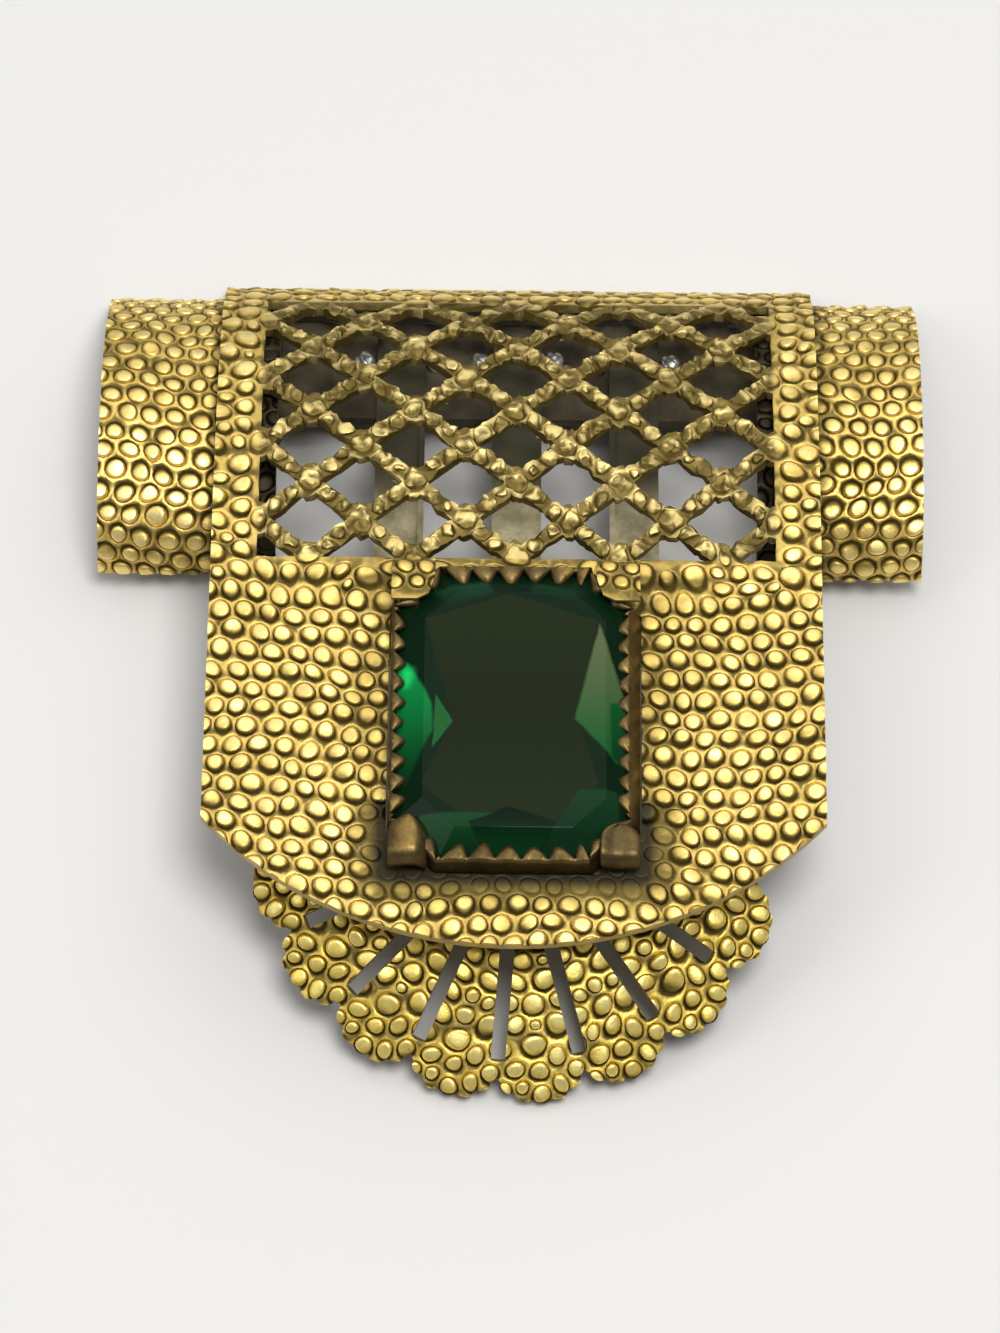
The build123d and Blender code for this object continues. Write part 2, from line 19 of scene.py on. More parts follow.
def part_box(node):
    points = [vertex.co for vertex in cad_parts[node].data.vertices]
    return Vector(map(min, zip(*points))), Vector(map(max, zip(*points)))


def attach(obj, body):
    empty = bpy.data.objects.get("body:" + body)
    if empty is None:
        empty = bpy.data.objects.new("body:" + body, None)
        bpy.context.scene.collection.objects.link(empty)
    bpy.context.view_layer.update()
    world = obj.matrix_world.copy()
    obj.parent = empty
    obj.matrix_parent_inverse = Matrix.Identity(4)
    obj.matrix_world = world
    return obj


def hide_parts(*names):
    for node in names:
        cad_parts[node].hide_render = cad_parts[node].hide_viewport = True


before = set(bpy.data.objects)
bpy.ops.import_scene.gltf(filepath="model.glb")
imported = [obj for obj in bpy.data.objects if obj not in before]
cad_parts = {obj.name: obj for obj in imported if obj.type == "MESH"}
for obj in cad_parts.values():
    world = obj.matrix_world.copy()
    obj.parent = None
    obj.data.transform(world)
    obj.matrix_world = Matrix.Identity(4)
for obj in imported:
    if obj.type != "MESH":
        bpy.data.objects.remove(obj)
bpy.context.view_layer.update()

print("frame nodes:", len(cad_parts))

# %% [markdown]
# ## Sizes
# Work on a piece this small is easiest in millimetres, so every length of a piece is in
# millimetres, and one function, `finish_piece`, scales a finished mesh to metres. The sizes are
# those of the stamping tools. The heights and places are read from the frame. Only the lamps
# and the camera are placed in metres.

# %% Sizes of the sheet metal
MM = 0.001
sheet = 0.6                # pebbled sheet, over its pebbles
film = 0.1                 # solder between two pieces
face_over_rail = 4.65      # from the rail's top to the plate's face
flat_run = 5.0             # the plate is flat this far above the lattice's lower edge
slope_r = 34.0
slope_turn = radians(18.5)
roll_r = 13.0
roll_turn = radians(42)
bow_drop = 24.3            # lattice's lower edge to the middle of the plate's bowed edge
corner_drop = 16.6         # and to the plate's two corners
bar_r = roll_r - sheet - film
bar_rear_angle = radians(58)
bar_arcs = [(bar_r, radians(45)), (14.0, radians(39)), (5.0, radians(50))]
column_pitch = 5.82        # lattice
row_pitch = 2.55
strut = 0.95
columns = 5
rows = 8
stone_under_lattice = 1.5
pebble_pitch = 1.4
print("lattice of", columns, "by", rows / 2, "diamonds in", sheet, "mm sheet")


def cad(node):
    """Lowest and highest corner of a node, in millimetres."""
    low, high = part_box(node)
    return low / MM, high / MM


# %% Places, from the frame
stone_low, stone_high = cad("stone")
setting_low, setting_high = cad("stone_setting")
stone_y = (stone_low.y + stone_high.y) / 2
lattice_y = stone_high.y + stone_under_lattice
half_plate = cad("front_plate")[1].x
face_z = cad("back_rail")[1].z + face_over_rail
rear_run = flat_run + slope_r * slope_turn + roll_r * roll_turn
print("lattice's lower edge at y", round(lattice_y, 3), "mm")

# %% [markdown]
# ## Helpers for modelling
# Operators act on whatever is selected, and the frame's nodes start out selected. So each
# helper first selects the one piece that it works on.

# %% Selecting, applying and cutting
def only(piece):
    """Selects one piece and makes it the active one."""
    bpy.ops.object.select_all(action="DESELECT")
    piece.select_set(True)
    bpy.context.view_layer.objects.active = piece


def edit(piece):
    """Opens a piece in edit mode with all of it selected."""
    only(piece)
    bpy.ops.object.mode_set(mode="EDIT")
    bpy.ops.mesh.select_all(action="SELECT")


def close(piece):
    """Points every face outwards and leaves edit mode."""
    bpy.ops.mesh.normals_make_consistent(inside=False)
    bpy.ops.object.mode_set(mode="OBJECT")
    return piece


def apply(piece, kind, **settings):
    """Adds a modifier and applies it."""
    only(piece)
    modifier = piece.modifiers.new(kind.title(), kind)
    for name, value in settings.items():
        setattr(modifier, name, value)
    bpy.ops.object.modifier_apply(modifier=modifier.name)


def cut(piece, tool, operation="DIFFERENCE"):
    """Cuts a closed piece with a closed tool, which is used up."""
    apply(piece, "BOOLEAN", object=tool, operation=operation, solver="MANIFOLD")
    bpy.data.objects.remove(tool)


def mesh_piece(name, vertices, faces):
    """A new object from its points and faces."""
    mesh = bpy.data.meshes.new(name)
    mesh.from_pydata(vertices, [], faces)
    piece = bpy.data.objects.new(name, mesh)
    bpy.context.scene.collection.objects.link(piece)
    return piece


def join(pieces, name):
    """Joins several pieces into one."""
    only(pieces[0])
    for piece in pieces:
        piece.select_set(True)
    if len(pieces) > 1:
        bpy.ops.object.join()
    pieces[0].name = name
    return pieces[0]


def prism(name, outline, low=-2, high=2):
    """A closed block over a flat outline. Its usual heights reach through any flat sheet."""
    piece = mesh_piece(name, [(x, y, low) for x, y in outline], [range(len(outline))])
    edit(piece)
    bpy.ops.mesh.extrude_region_move(TRANSFORM_OT_translate={"value": (0, 0, high - low)})
    bpy.ops.mesh.select_all(action="SELECT")
    return close(piece)


def points_of(piece):
    """A mesh's points as an array, one row each."""
    flat = np.empty(3 * len(piece.data.vertices), np.float32)
    piece.data.vertices.foreach_get("co", flat)
    return flat.reshape(-1, 3).astype(float)


def move_points(piece, points):
    """Puts a mesh's points in new places."""
    piece.data.vertices.foreach_set("co", points.astype(np.float32).ravel())
    piece.data.update()


def store(piece, name, domain, values):
    """Keeps one number for each point or face, for a material to read."""
    layer = piece.data.attributes.new(name, "FLOAT", domain)
    layer.data.foreach_set("value", np.asarray(values, np.float32))


def finish_piece(piece, material, nodes=(), body="brooch", crease=40):
    """Scales a piece to metres, gives it its finish and sets it on the frame."""
    only(piece)
    piece.scale = (MM, MM, MM)
    bpy.ops.object.transform_apply(location=True, rotation=True, scale=True)
    bpy.ops.object.shade_smooth_by_angle(angle=radians(crease))
    piece.data.materials.clear()
    piece.data.materials.append(material)
    if nodes:
        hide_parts(*nodes)
    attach(piece, body)
    piece.data.calc_loop_triangles()
    print(piece.name, len(piece.data.loop_triangles), "triangles")


# %% [markdown]
# ## Shader maths
# A finish is easier to read as a formula than as a web of nodes. `Link` wraps a socket, and
# its operators add Math nodes. `Finish` is a material in the making: its `node` method adds
# any node, with its settings first and then its inputs.

# %% Links and finishes
class Link:
    """A socket that can be added to, multiplied and so on."""

    def __init__(self, finish, socket):
        self.finish = finish
        self.socket = socket

    def maths(self, operation, first, second):
        """Adds a Math node."""
        return self.finish.node("Math", {"operation": operation}, {0: first, 1: second})

    def __add__(self, other):
        return self.maths("ADD", self, other)

    def __radd__(self, other):
        return self.maths("ADD", other, self)

    def __sub__(self, other):
        return self.maths("SUBTRACT", self, other)

    def __rsub__(self, other):
        return self.maths("SUBTRACT", other, self)

    def __mul__(self, other):
        return self.maths("MULTIPLY", self, other)

    def __rmul__(self, other):
        return self.maths("MULTIPLY", other, self)


class Finish:
    """A material in the making."""

    def __init__(self, name):
        self.material = bpy.data.materials.new(name)
        self.material.use_nodes = True
        self.tree = self.material.node_tree
        self.tree.nodes.clear()

    def node(self, kind, settings=None, inputs=None, output=0):
        """Adds a node and returns one of its outputs."""
        made = self.tree.nodes.new("ShaderNode" + kind)
        for name, value in (settings or {}).items():
            setattr(made, name, value)
        for key, value in (inputs or {}).items():
            if isinstance(value, Link):
                self.tree.links.new(value.socket, made.inputs[key])
            else:
                made.inputs[key].default_value = value
        return Link(self, made.outputs[output])

    def here(self):
        """Place on the piece, in metres."""
        return self.node("TexCoord", output=3)

    def along(self, axis):
        """Place along one axis (0 is x), in millimetres."""
        return self.node("SeparateXYZ", {}, {0: self.here()}, axis) * (1 / MM)

    def attribute(self, name):
        """A number kept on the mesh."""
        return self.node("Attribute", {"attribute_name": name}, output=2)

    def noise(self, size, detail=3.0, roughness=0.5):
        """Smooth noise, from 0 to 1, with features of a size in millimetres."""
        return self.node("TexNoise", {}, {
            "Vector": self.here(), "Scale": 1 / (size * MM), "Detail": detail,
            "Roughness": roughness})

    def rise(self, value, low, high):
        """0 below low and 1 above high, smooth between them."""
        return self.node("MapRange", {"interpolation_type": "SMOOTHSTEP"}, {
            "Value": value, "From Min": low, "From Max": high})

    def blend(self, share, first, second):
        """A colour between two colours."""
        return self.node("Mix", {"data_type": "RGBA"}, {0: share, 6: first, 7: second}, 2)

    def bump(self, height, depth, strength=1.0):
        """A normal from a height, with its depth in millimetres."""
        return self.node("Bump", {}, {
            "Height": height, "Distance": depth * MM, "Strength": strength})

    def surface(self, **inputs):
        """Ends the material with a Principled shader. Underlines stand for spaces."""
        named = {key.replace("_", " "): value for key, value in inputs.items()}
        shader = self.node("BsdfPrincipled", {}, named)
        output = self.tree.nodes.new("ShaderNodeOutputMaterial")
        self.tree.links.new(shader.socket, output.inputs["Surface"])
        print("finish", self.material.name, "of", len(self.tree.nodes), "nodes")
        return self.material


def rgb(red, green, blue):
    """A colour with full cover."""
    return (red, green, blue, 1.0)


# %% [markdown]
# ## Finishes
# The sheet was gilt and then wore. Its pebbles are bright on top, and an olive-brown tarnish
# stays in the grooves round them. The height of the stamped relief is kept on the mesh, so the
# tarnish lies exactly in the grooves, and noise keeps it from looking even. More is kept there:
# `dirt_and_shade` darkens the sheet beside the stone, partly as dirt and partly as painted
# shade, and lays painted shade where the wings pass under the plate and along its edge; `rubbed`
# is the lattice, which is handled most; `lower_side_shade` is the lower side of each groove,
# where shade is painted, with painted light on the upper side; and `cut` and `back` are the
# sheet's edges and its underside.

# %% Pebbled brass
def pebbled_brass(name, shine, pale, deep):
    """Worn gilt sheet: the gold of its highest points, then its palest and deepest."""
    finish = Finish(name)
    relief = finish.attribute("relief")
    # darkening: beside the stone partly dirt and partly painted shade, on the wings painted
    # shade under and along the plate, on the fan painted shade towards its hub
    dirt_and_shade = finish.attribute("dirt_and_shade")
    # painted shade on the lower side of each groove, as if lit from the brooch's top; its upper
    # side gets painted light
    lower_side_shade = finish.attribute("lower_side_shade")
    edge = finish.attribute("cut")
    back = finish.attribute("back")
    rubbed = finish.attribute("rubbed")
    patches = finish.noise(7.0, 4.0)
    grain = finish.noise(0.5, 4.0, 0.6)
    upper_side_light = (1 - lower_side_shade) * (1 - relief) * 0.25   # painted light: a groove's upper side is lighter
    wear = relief + upper_side_light - lower_side_shade * 0.5 + (grain - 0.5) * 0.4 + (patches - 0.5) * 0.5 - dirt_and_shade * 0.6
    bright = finish.rise(wear, 0.12, 0.98)
    gold = finish.blend(patches, deep, pale)
    gold = finish.blend(finish.rise(wear, 0.75, 1.1), gold, shine)
    gold = finish.blend(rubbed * 0.5, gold, rgb(1.0, 0.85, 0.42))
    dirt = finish.blend(grain, rgb(0.10, 0.07, 0.015), rgb(0.26, 0.19, 0.05))
    colour = finish.blend(bright, dirt, gold)
    # near black: painted shade where a wing lies under the plate, and partly dirt, partly
    # painted shade just below the stone
    colour = finish.blend(finish.rise(dirt_and_shade, 0.95, 1.5), colour, rgb(0.035, 0.028, 0.014))
    colour = finish.blend(edge * 0.75, colour, rgb(0.45, 0.34, 0.14))
    colour = finish.blend(back * 0.85, colour, rgb(0.36, 0.30, 0.16))
    roughness = 0.55 - bright * 0.12 + (grain - 0.5) * 0.16 + back * 0.1
    height = grain + finish.noise(0.12, 2.0) * 0.35
    return finish.surface(
        Base_Color=colour, Metallic=0.85 + bright * 0.1, Roughness=roughness,
        Normal=finish.bump(height, 0.03))


brass = pebbled_brass("pebbled_brass", rgb(1.0, 0.82, 0.34),
                      rgb(0.94, 0.71, 0.22), rgb(0.83, 0.57, 0.14))
# the fan's copy of the brass is brighter and yellower than the plate's, as painted light
fan_brass_painted_light = pebbled_brass("fan_brass_painted_light", rgb(1.0, 0.84, 0.30),
                          rgb(1.0, 0.78, 0.20), rgb(0.97, 0.67, 0.10))

# %% [markdown]
# ## Pebbled sheet
# A rolling mill presses the pebbles: each is a low dome in a groove, and a thin net of ridges
# runs between the grooves. A plain noise bump would look like hammering, so each pebble is
# modelled. Centres are scattered in staggered rows, the cells round them are found by joining
# the centres into triangles, and each cell gets a few rings of faces, each at its own height.
# One level of subdivision then rounds them. The blank is flat, so it is easy to pierce, and it
# is bent to its profile last, as in the workshop.

# %% Where pebbles go
def pebble_rows(low, high, pitch, seed):
    """Centres in staggered rows that wander a little."""
    chance = Random(seed)
    row_step = pitch * sqrt(3) / 2
    stray = 0.2 * pitch
    centres = []
    for row in range(int((high[1] - low[1]) / row_step) + 1):
        for column in range(int((high[0] - low[0]) / pitch) + 1):
            x = low[0] + (column + row % 2 / 2) * pitch
            y = low[1] + row * row_step
            centres.append((
                x + 0.3 * sin(0.5 * y) + chance.uniform(-stray, stray),
                y + 0.35 * sin(0.35 * x + 1) + chance.uniform(-stray, stray)))
    return centres


def cells_round(centres):
    """The shared corners of the cells, and each inner cell as (its centre's number, corners)."""
    _, _, triangles, *_ = delaunay_2d_cdt([Vector(c) for c in centres], [], [], 0, 1e-6)
    corners = [
        (sum(centres[i][0] for i in t) / 3, sum(centres[i][1] for i in t) / 3)
        for t in triangles]
    around = {}
    for number, triangle in enumerate(triangles):
        for i in triangle:
            around.setdefault(i, []).append(number)
    cells = []
    for i, numbers in around.items():
        neighbours = {j for number in numbers for j in triangles[number]} - {i}
        if len(neighbours) == len(numbers):   # not on the rim
            x, y = centres[i]
            numbers.sort(key=lambda n: atan2(corners[n][1] - y, corners[n][0] - x))
            cells.append((i, numbers))
    return corners, cells


# %% One pebble, as rings of faces
ridge = -0.10              # height of the net between the pebbles
groove = -0.27             # and of the grooves, once they are rounded
groove_lean = 0.14         # the grooves are deeper on the pebbles' lower sides
# Each ring's share of the way out to the cell's edge, and its height.
pebble_profile = ((0.91, -0.15), (0.84, -0.34), (0.77, -0.10), (0.66, -0.01), (0.38, 0.02))


def add_pebble(middle, cell, power, chance, points, faces):
    """Adds the rings of a pebble to points and faces, inside a cell given by its corners."""
    x, y = middle
    power *= chance.uniform(0.75, 1.1)
    lean = (chance.uniform(-0.16, 0.16), chance.uniform(-0.12, 0.2))
    reach = [hypot(points[n][0] - x, points[n][1] - y) for n in cell]
    mean = sum(reach) / len(reach)
    uneven = [chance.uniform(0.85, 1.08) for _ in cell]
    outer = cell
    for share, height in pebble_profile:
        roundness = min(1, 0.95 * (1 - share))
        inner = []
        for n, far, factor in zip(cell, reach, uneven):
            new = share * factor * (far + (mean - far) * roundness)
            dx, dy = ((points[n][k] - middle[k]) / far * new for k in (0, 1))
            tilt = lean[0] * dx + lean[1] * dy if height > ridge else groove_lean * dy
            inner.append(len(points))
            points.append((x + dx, y + dy, ridge + (height - ridge + tilt) * power))
        for k in range(len(cell)):
            after = (k + 1) % len(cell)
            faces.append([outer[k], outer[after], inner[after], inner[k]])
        outer = inner
    faces.append(outer)


# %% A pebbled blank
def pebbled_blank(name, centres, is_pebble, strength, thickness, seed):
    """A closed flat blank whose top is pebbled. Its highest points are at height 0."""
    chance = Random(seed)
    corners, cells = cells_round(centres)
    count = len(corners)
    points = [(x, y, ridge) for x, y in corners] + [(x, y, -thickness) for x, y in corners]
    faces = []
    edges = {}
    for i, cell in cells:
        faces.append([count + n for n in reversed(cell)])
        for a, b in zip(cell, cell[1:] + cell[:1]):
            edges[a, b] = True
        if is_pebble(*centres[i]):
            add_pebble(centres[i], cell, strength(*centres[i]), chance, points, faces)
        else:
            faces.append(cell)
    for a, b in edges:
        if (b, a) not in edges:   # the blank's rim
            faces.append([b, a, count + a, count + b])
    piece = mesh_piece(name, points, faces)
    edit(piece)
    bpy.ops.mesh.delete_loose()
    bpy.ops.mesh.select_all(action="SELECT")
    close(piece)
    apply(piece, "SUBSURF", levels=1, render_levels=1)
    return piece


# %% What the finish needs to know of a blank
def keep_relief(piece, centres):
    """Stores, while the piece is flat, what its finish needs to know: the relief's height, how
    far a point is down the lower side of its pebble, for painted shade there, and which faces
    are cut or behind."""
    points = points_of(piece)
    store(piece, "relief", "POINT", np.clip((points[:, 2] - groove) / -groove, 0, 1))
    tree = KDTree(len(centres))
    for number, (x, y) in enumerate(centres):
        tree.insert((x, y, 0), number)
    tree.balance()
    # painted shade: how far down the lower side of its pebble each point lies
    lower_side_shade = []
    for x, y, _ in points:
        (middle_x, middle_y, _), _, _ = tree.find((x, y, 0))
        far = hypot(x - middle_x, y - middle_y)
        lower_side_shade.append(max(0, (middle_y - y) / max(far, 0.1)) * min(1, max(0, far / 0.3 - 0.5)))
    store(piece, "lower_side_shade", "POINT", lower_side_shade)
    upward = np.array([face.normal.z for face in piece.data.polygons])
    store(piece, "cut", "FACE", np.abs(upward) < 0.12)
    store(piece, "back", "FACE", upward < -0.5)


# %% Bending a blank to its side profile
def wrap(piece, start, heading, parts, up):
    """Bends a flat piece along a line of arcs in the YZ plane.
    Its y is the run along the line and its z the height over it, on the line's left if up is
    1. Each part of the line is (radius, turn), or (length, 0) where it is straight."""
    flat = points_of(piece)
    bent = flat.copy()
    y, z = start
    done = 0.0
    for size, turn in parts:
        here = flat[:, 1] >= done if done else np.full(len(flat), True)
        run = flat[here, 1] - done
        side = np.sign(turn)
        if turn:
            angle = heading + side * run / size
            middle = (y - side * size * sin(heading), z + side * size * cos(heading))
            along = middle[0] + side * size * np.sin(angle)
            rise = middle[1] - side * size * np.cos(angle)
            done += size * abs(turn)
            heading += turn
            y = middle[0] + side * size * sin(heading)
            z = middle[1] - side * size * cos(heading)
        else:
            angle = np.full(len(run), heading)
            along = y + cos(heading) * run
            rise = z + sin(heading) * run
            done += size
            y += cos(heading) * size
            z += sin(heading) * size
        height = flat[here, 2]
        bent[here, 1] = along - up * np.sin(angle) * height
        bent[here, 2] = rise + up * np.cos(angle) * height
    move_points(piece, bent)
    edit(piece)
    close(piece)


# %% [markdown]
# ## Front plate
# The plate's lattice was pressed with the pebbles and then pierced. Each crossing is a round
# boss, with two beads on the strut between two bosses. So the centres inside the lattice come
# from the lattice itself, with plain cells filling the holes, and the cutters then take the
# holes out, with a bow-edged outline and the opening for the stone.

# %% Centres of the plate's pebbles
half_column = column_pitch / 2
half_window = columns * half_column
window_top = rows * row_pitch
opening_half = (setting_high.x + film, (setting_high.y - setting_low.y) / 2 + film)
opening_v = stone_y - lattice_y   # the opening's middle, from the lattice's lower edge


def crossings():
    """Places where struts cross, as (x, height, row)."""
    for row in range(rows + 1):
        shift = row % 2 / 2
        for k in range(-columns, columns + 1):
            x = (k + shift) * column_pitch
            if abs(x) <= half_window + 0.01:
                yield x, row * row_pitch, row


def lattice_centres():
    """Bosses and beads, and plain cells in the holes beside them."""
    chance = Random(12)
    beads, plain = [], []
    strut_length = hypot(half_column, row_pitch)
    aside = 1.08             # from a bead to the plain cells beside it
    for x, v, row in crossings():
        beads.append((x, v))
        if abs(x) < half_window:
            plain.append((x + half_column, v))
        for side in (-1, 1):
            if row == rows or abs(x + side * half_column) > half_window + 0.01:
                continue
            for share in (1 / 3, 2 / 3):
                place = share + chance.uniform(-0.07, 0.07)
                bx = x + side * half_column * place
                bv = v + row_pitch * place
                beads.append((bx, bv))
                for turn in (-1, 1):
                    dummy = (bx - turn * row_pitch / strut_length * aside,
                             bv + turn * side * half_column / strut_length * aside)
                    if abs(dummy[0]) < half_window and 0 < dummy[1] < window_top:
                        plain.append(dummy)
    return beads, plain


beads, hollow = lattice_centres()
margin = 2.6               # pebbles are scattered this far past the outline, and cut there
scatter = pebble_rows((-half_plate - margin, -bow_drop - margin),
                      (half_plate + margin, rear_run + margin), pebble_pitch, 4)


# %% Centres beside the lattice
def in_window(x, v, grow=0.0):
    """Whether a place is within the lattice's window, grown on all sides by a margin."""
    return abs(x) < half_window + grow and -grow < v < window_top + grow


def clear_of(point, others, gap):
    """Whether a point keeps its distance from all the others."""
    return all(hypot(point[0] - o[0], point[1] - o[1]) > gap for o in others)


def window_frame():
    """A row of pebbles close along each side of the window, between the bosses."""
    chance = Random(17)
    aside = 0.62 * pebble_pitch
    found = []
    for run in np.arange(-half_window - aside, half_window + aside + 0.1, pebble_pitch):
        for v in (-aside, window_top + aside):
            found.append((run + chance.uniform(-0.15, 0.15), v + chance.uniform(-0.08, 0.08)))
    for run in np.arange(0.45, window_top, pebble_pitch):
        for x in (-half_window - aside, half_window + aside):
            found.append((x + chance.uniform(-0.08, 0.08), run + chance.uniform(-0.15, 0.15)))
    return found


near_beads = [b for b in beads if not in_window(*b, -1.5)]   # those by the window's edge
frame_row = [c for c in window_frame() if clear_of(c, near_beads, 0.95)]
settled = near_beads + frame_row
field = frame_row + [
    c for c in scatter if not in_window(*c, 0.35) and clear_of(c, settled, 0.92)]
centres = beads + hollow + field
hollow_set = set(hollow)
print(len(beads), "lattice beads,", len(field), "field pebbles")


# %% How strongly the plate is pebbled
half_cell = 0.9            # a cell whose centre is this far past a cut is all cut away


def plate_pebble(x, v):
    """Whether a cell is a pebble, or plain because it is cut away."""
    if (x, v) in hollow_set:
        return False
    in_opening = (abs(x) < opening_half[0] - half_cell
                  and abs(v - opening_v) < opening_half[1] - half_cell)
    outside = abs(x) > half_plate + half_cell or v > rear_run + half_cell
    return not in_opening and not outside


def beside_stone(x, v):
    """Distance from the opening for the stone."""
    return hypot(max(abs(x) - opening_half[0], 0), max(abs(v - opening_v) - opening_half[1], 0))


def plate_strength(x, v):
    """Pebbles are softer on the lattice, and flat beside the lower end of the setting."""
    if in_window(x, v, 0.1):
        return 0.5
    if v > opening_v - 0.6 * opening_half[1]:
        return 1.0
    return min(1.0, max(0.12, (beside_stone(x, v) - 0.3) / 1.3))


# %% Cutters
def arc(middle, radius, first, last, steps):
    """Points round part of a circle."""
    return [(middle[0] + radius * cos(first + (last - first) * k / steps),
             middle[1] + radius * sin(first + (last - first) * k / steps))
            for k in range(steps + 1)]


def bowed_outline():
    """The plate's outline, with its lower edge an arc."""
    rise = bow_drop - corner_drop
    radius = (half_plate**2 + rise**2) / (2 * rise)
    spread = atan2(half_plate, radius - rise)
    bow = arc((0, radius - bow_drop), radius, -pi / 2 - spread, -pi / 2 + spread, 48)
    return bow + [(half_plate, rear_run), (-half_plate, rear_run)]


def hole_outline():
    """A diamond whose upper and lower points are hidden behind the bosses."""
    inset = 1 - strut / 2 * hypot(half_column, row_pitch) / (half_column * row_pitch)
    reach, top = half_column * inset, row_pitch * inset
    boss_x, boss_y = 0.72, 1.08
    lean = atan2(-top * boss_x / reach, boss_y)
    far = hypot(boss_y, top * boss_x / reach)
    meet = lean + pi / 2 - atan2(row_pitch - top, sqrt(far**2 - (row_pitch - top)**2))
    upper = [(boss_x * sin(meet * k / 4), row_pitch - boss_y * cos(meet * k / 4))
             for k in range(4, -5, -1)]
    lower = [(-x, -y) for x, y in upper]
    return [(reach, 0)] + upper + [(-reach, 0)] + lower


def octagon(half_x, half_y, corner, middle=(0, 0)):
    """A rectangle with cut corners."""
    corners = []
    for sx, sy in ((1, 1), (-1, 1), (-1, -1), (1, -1)):
        pair = [(sx * half_x, sy * (half_y - corner)), (sx * (half_x - corner), sy * half_y)]
        corners += pair if sx * sy > 0 else pair[::-1]
    return [(middle[0] + x, middle[1] + y) for x, y in corners]


def lattice_tool():
    """All the lattice's holes as one cutter, trimmed to the lattice's window."""
    holes = []
    for row in range(rows + 1):
        shift = 0 if row % 2 else 0.5
        for k in range(-columns, columns + 1):
            x = (k + shift) * column_pitch
            if abs(x) <= half_window + 0.01:
                outline = [(x + hx, row * row_pitch + hy) for hx, hy in hole_outline()]
                holes.append(prism("hole", outline, -3, 3))
    tool = join(holes, "lattice_tool")
    window = prism("window", [(-half_window, 0), (half_window, 0),
                              (half_window, window_top), (-half_window, window_top)])
    cut(tool, window, "INTERSECT")
    return tool


# %% Stamp and pierce the plate
plate = pebbled_blank("pebbled_plate", centres, plate_pebble, plate_strength, sheet, 11)
cut(plate, prism("outline", bowed_outline()), "INTERSECT")
cut(plate, lattice_tool())
cut(plate, prism("opening", octagon(*opening_half, 2.7, (0, opening_v))))
keep_relief(plate, centres)
flat = points_of(plate)
darkening_reach = 2.4          # the plate darkens this near the stone, and most below its middle: partly dirt, partly painted shade of the setting


def plate_dirt_and_shade(x, v):
    """None on the lattice, and the more the nearer to the stone: partly dirt, partly painted
    shade of the setting.
    """
    if in_window(x, v):
        return 0.0
    return max(0, 1 - beside_stone(x, v) / darkening_reach) * (1.7 if v < opening_v - 5 else 0.6)


store(plate, "dirt_and_shade", "POINT", [plate_dirt_and_shade(x, v) for x, v, _ in flat])
store(plate, "rubbed", "POINT", [float(in_window(x, v)) for x, v, _ in flat])
print("grime near the stone on", sum(plate_dirt_and_shade(x, v) > 0 for x, v, _ in flat), "points")

# %% Roughen the lattice and bend the plate
faces = plate.data.polygons
in_lattice = [in_window(face.center.x, face.center.y, 0.02) for face in faces]
upright = np.abs([face.normal.z for face in faces]) < 0.12
plate.data.attributes["cut"].data.foreach_set(
    "value", np.where(in_lattice, 0, upright).astype(np.float32))
relief = plate.data.attributes["relief"].data
noise.seed_set(14)         # unseeded, noise_vector gives other dents in each run
coarse, fine = 1.3, 2.9    # lumps and dents for each millimetre
lump_push, dent_push = 0.18, 0.16   # how far they move a point sideways
lump_sink, dent_sink = 0.16, 0.18   # and how deep they press it
relief_kept = 0.84         # share of the stamped relief that still looks bright
dent_shade = 7.0           # how much a millimetre of depth takes from it
deepest = 0.0
for index, (x, v, z) in enumerate(flat.copy()):
    if in_window(x, v, 0.1):
        lump = noise.noise_vector((x * coarse, v * coarse, z))
        dent = noise.noise_vector((x * fine, v * fine, z + 7))
        inward = min(half_window - abs(x), v, window_top - v)
        fade = min(1, inward / 0.4 + 0.25)   # less at the window's edge
        dip = min(0, lump.z * lump_sink + dent.z * dent_sink - 0.05) * fade
        shine = relief_kept * relief[index].value + dent_shade * dip
        relief[index].value = max(0, shine)
        flat[index] += ((lump.x * lump_push + dent.x * dent_push) * fade,
                        (lump.y * lump_push + dent.y * dent_push) * fade,
                        dip)
        deepest = min(deepest, dip)
print("deepest dent on the lattice", round(-deepest, 2), "mm")
flat[:, 1] += bow_drop
move_points(plate, flat)
plate_parts = [(bow_drop + flat_run, 0), (slope_r, -slope_turn), (roll_r, -roll_turn)]
wrap(plate, (lattice_y - bow_drop, face_z), 0, plate_parts, 1)
finish_piece(plate, brass, ["front_plate"])


# %% [markdown]
# ## Wings of the bar
# The bar's two ends come out from under the plate. They are of the same pebbled sheet, bent to
# a fuller curve than the plate's, and turned down sharply at the front. One blank is made for
# each, with its own scatter of pebbles, and bent along the bar's three arcs.

# %% Places of the bar
wing_run = sum(radius * turn for radius, turn in bar_arcs)
roll_y = lattice_y + flat_run + (slope_r - roll_r) * sin(slope_turn)
roll_z = face_z - slope_r * (1 - cos(slope_turn)) - roll_r * cos(slope_turn)
bar_rear = (roll_y + bar_r * sin(bar_rear_angle), roll_z + bar_r * cos(bar_rear_angle))
print("bar's rear edge at y", round(bar_rear[0], 2), "and z", round(bar_rear[1], 2), "mm")


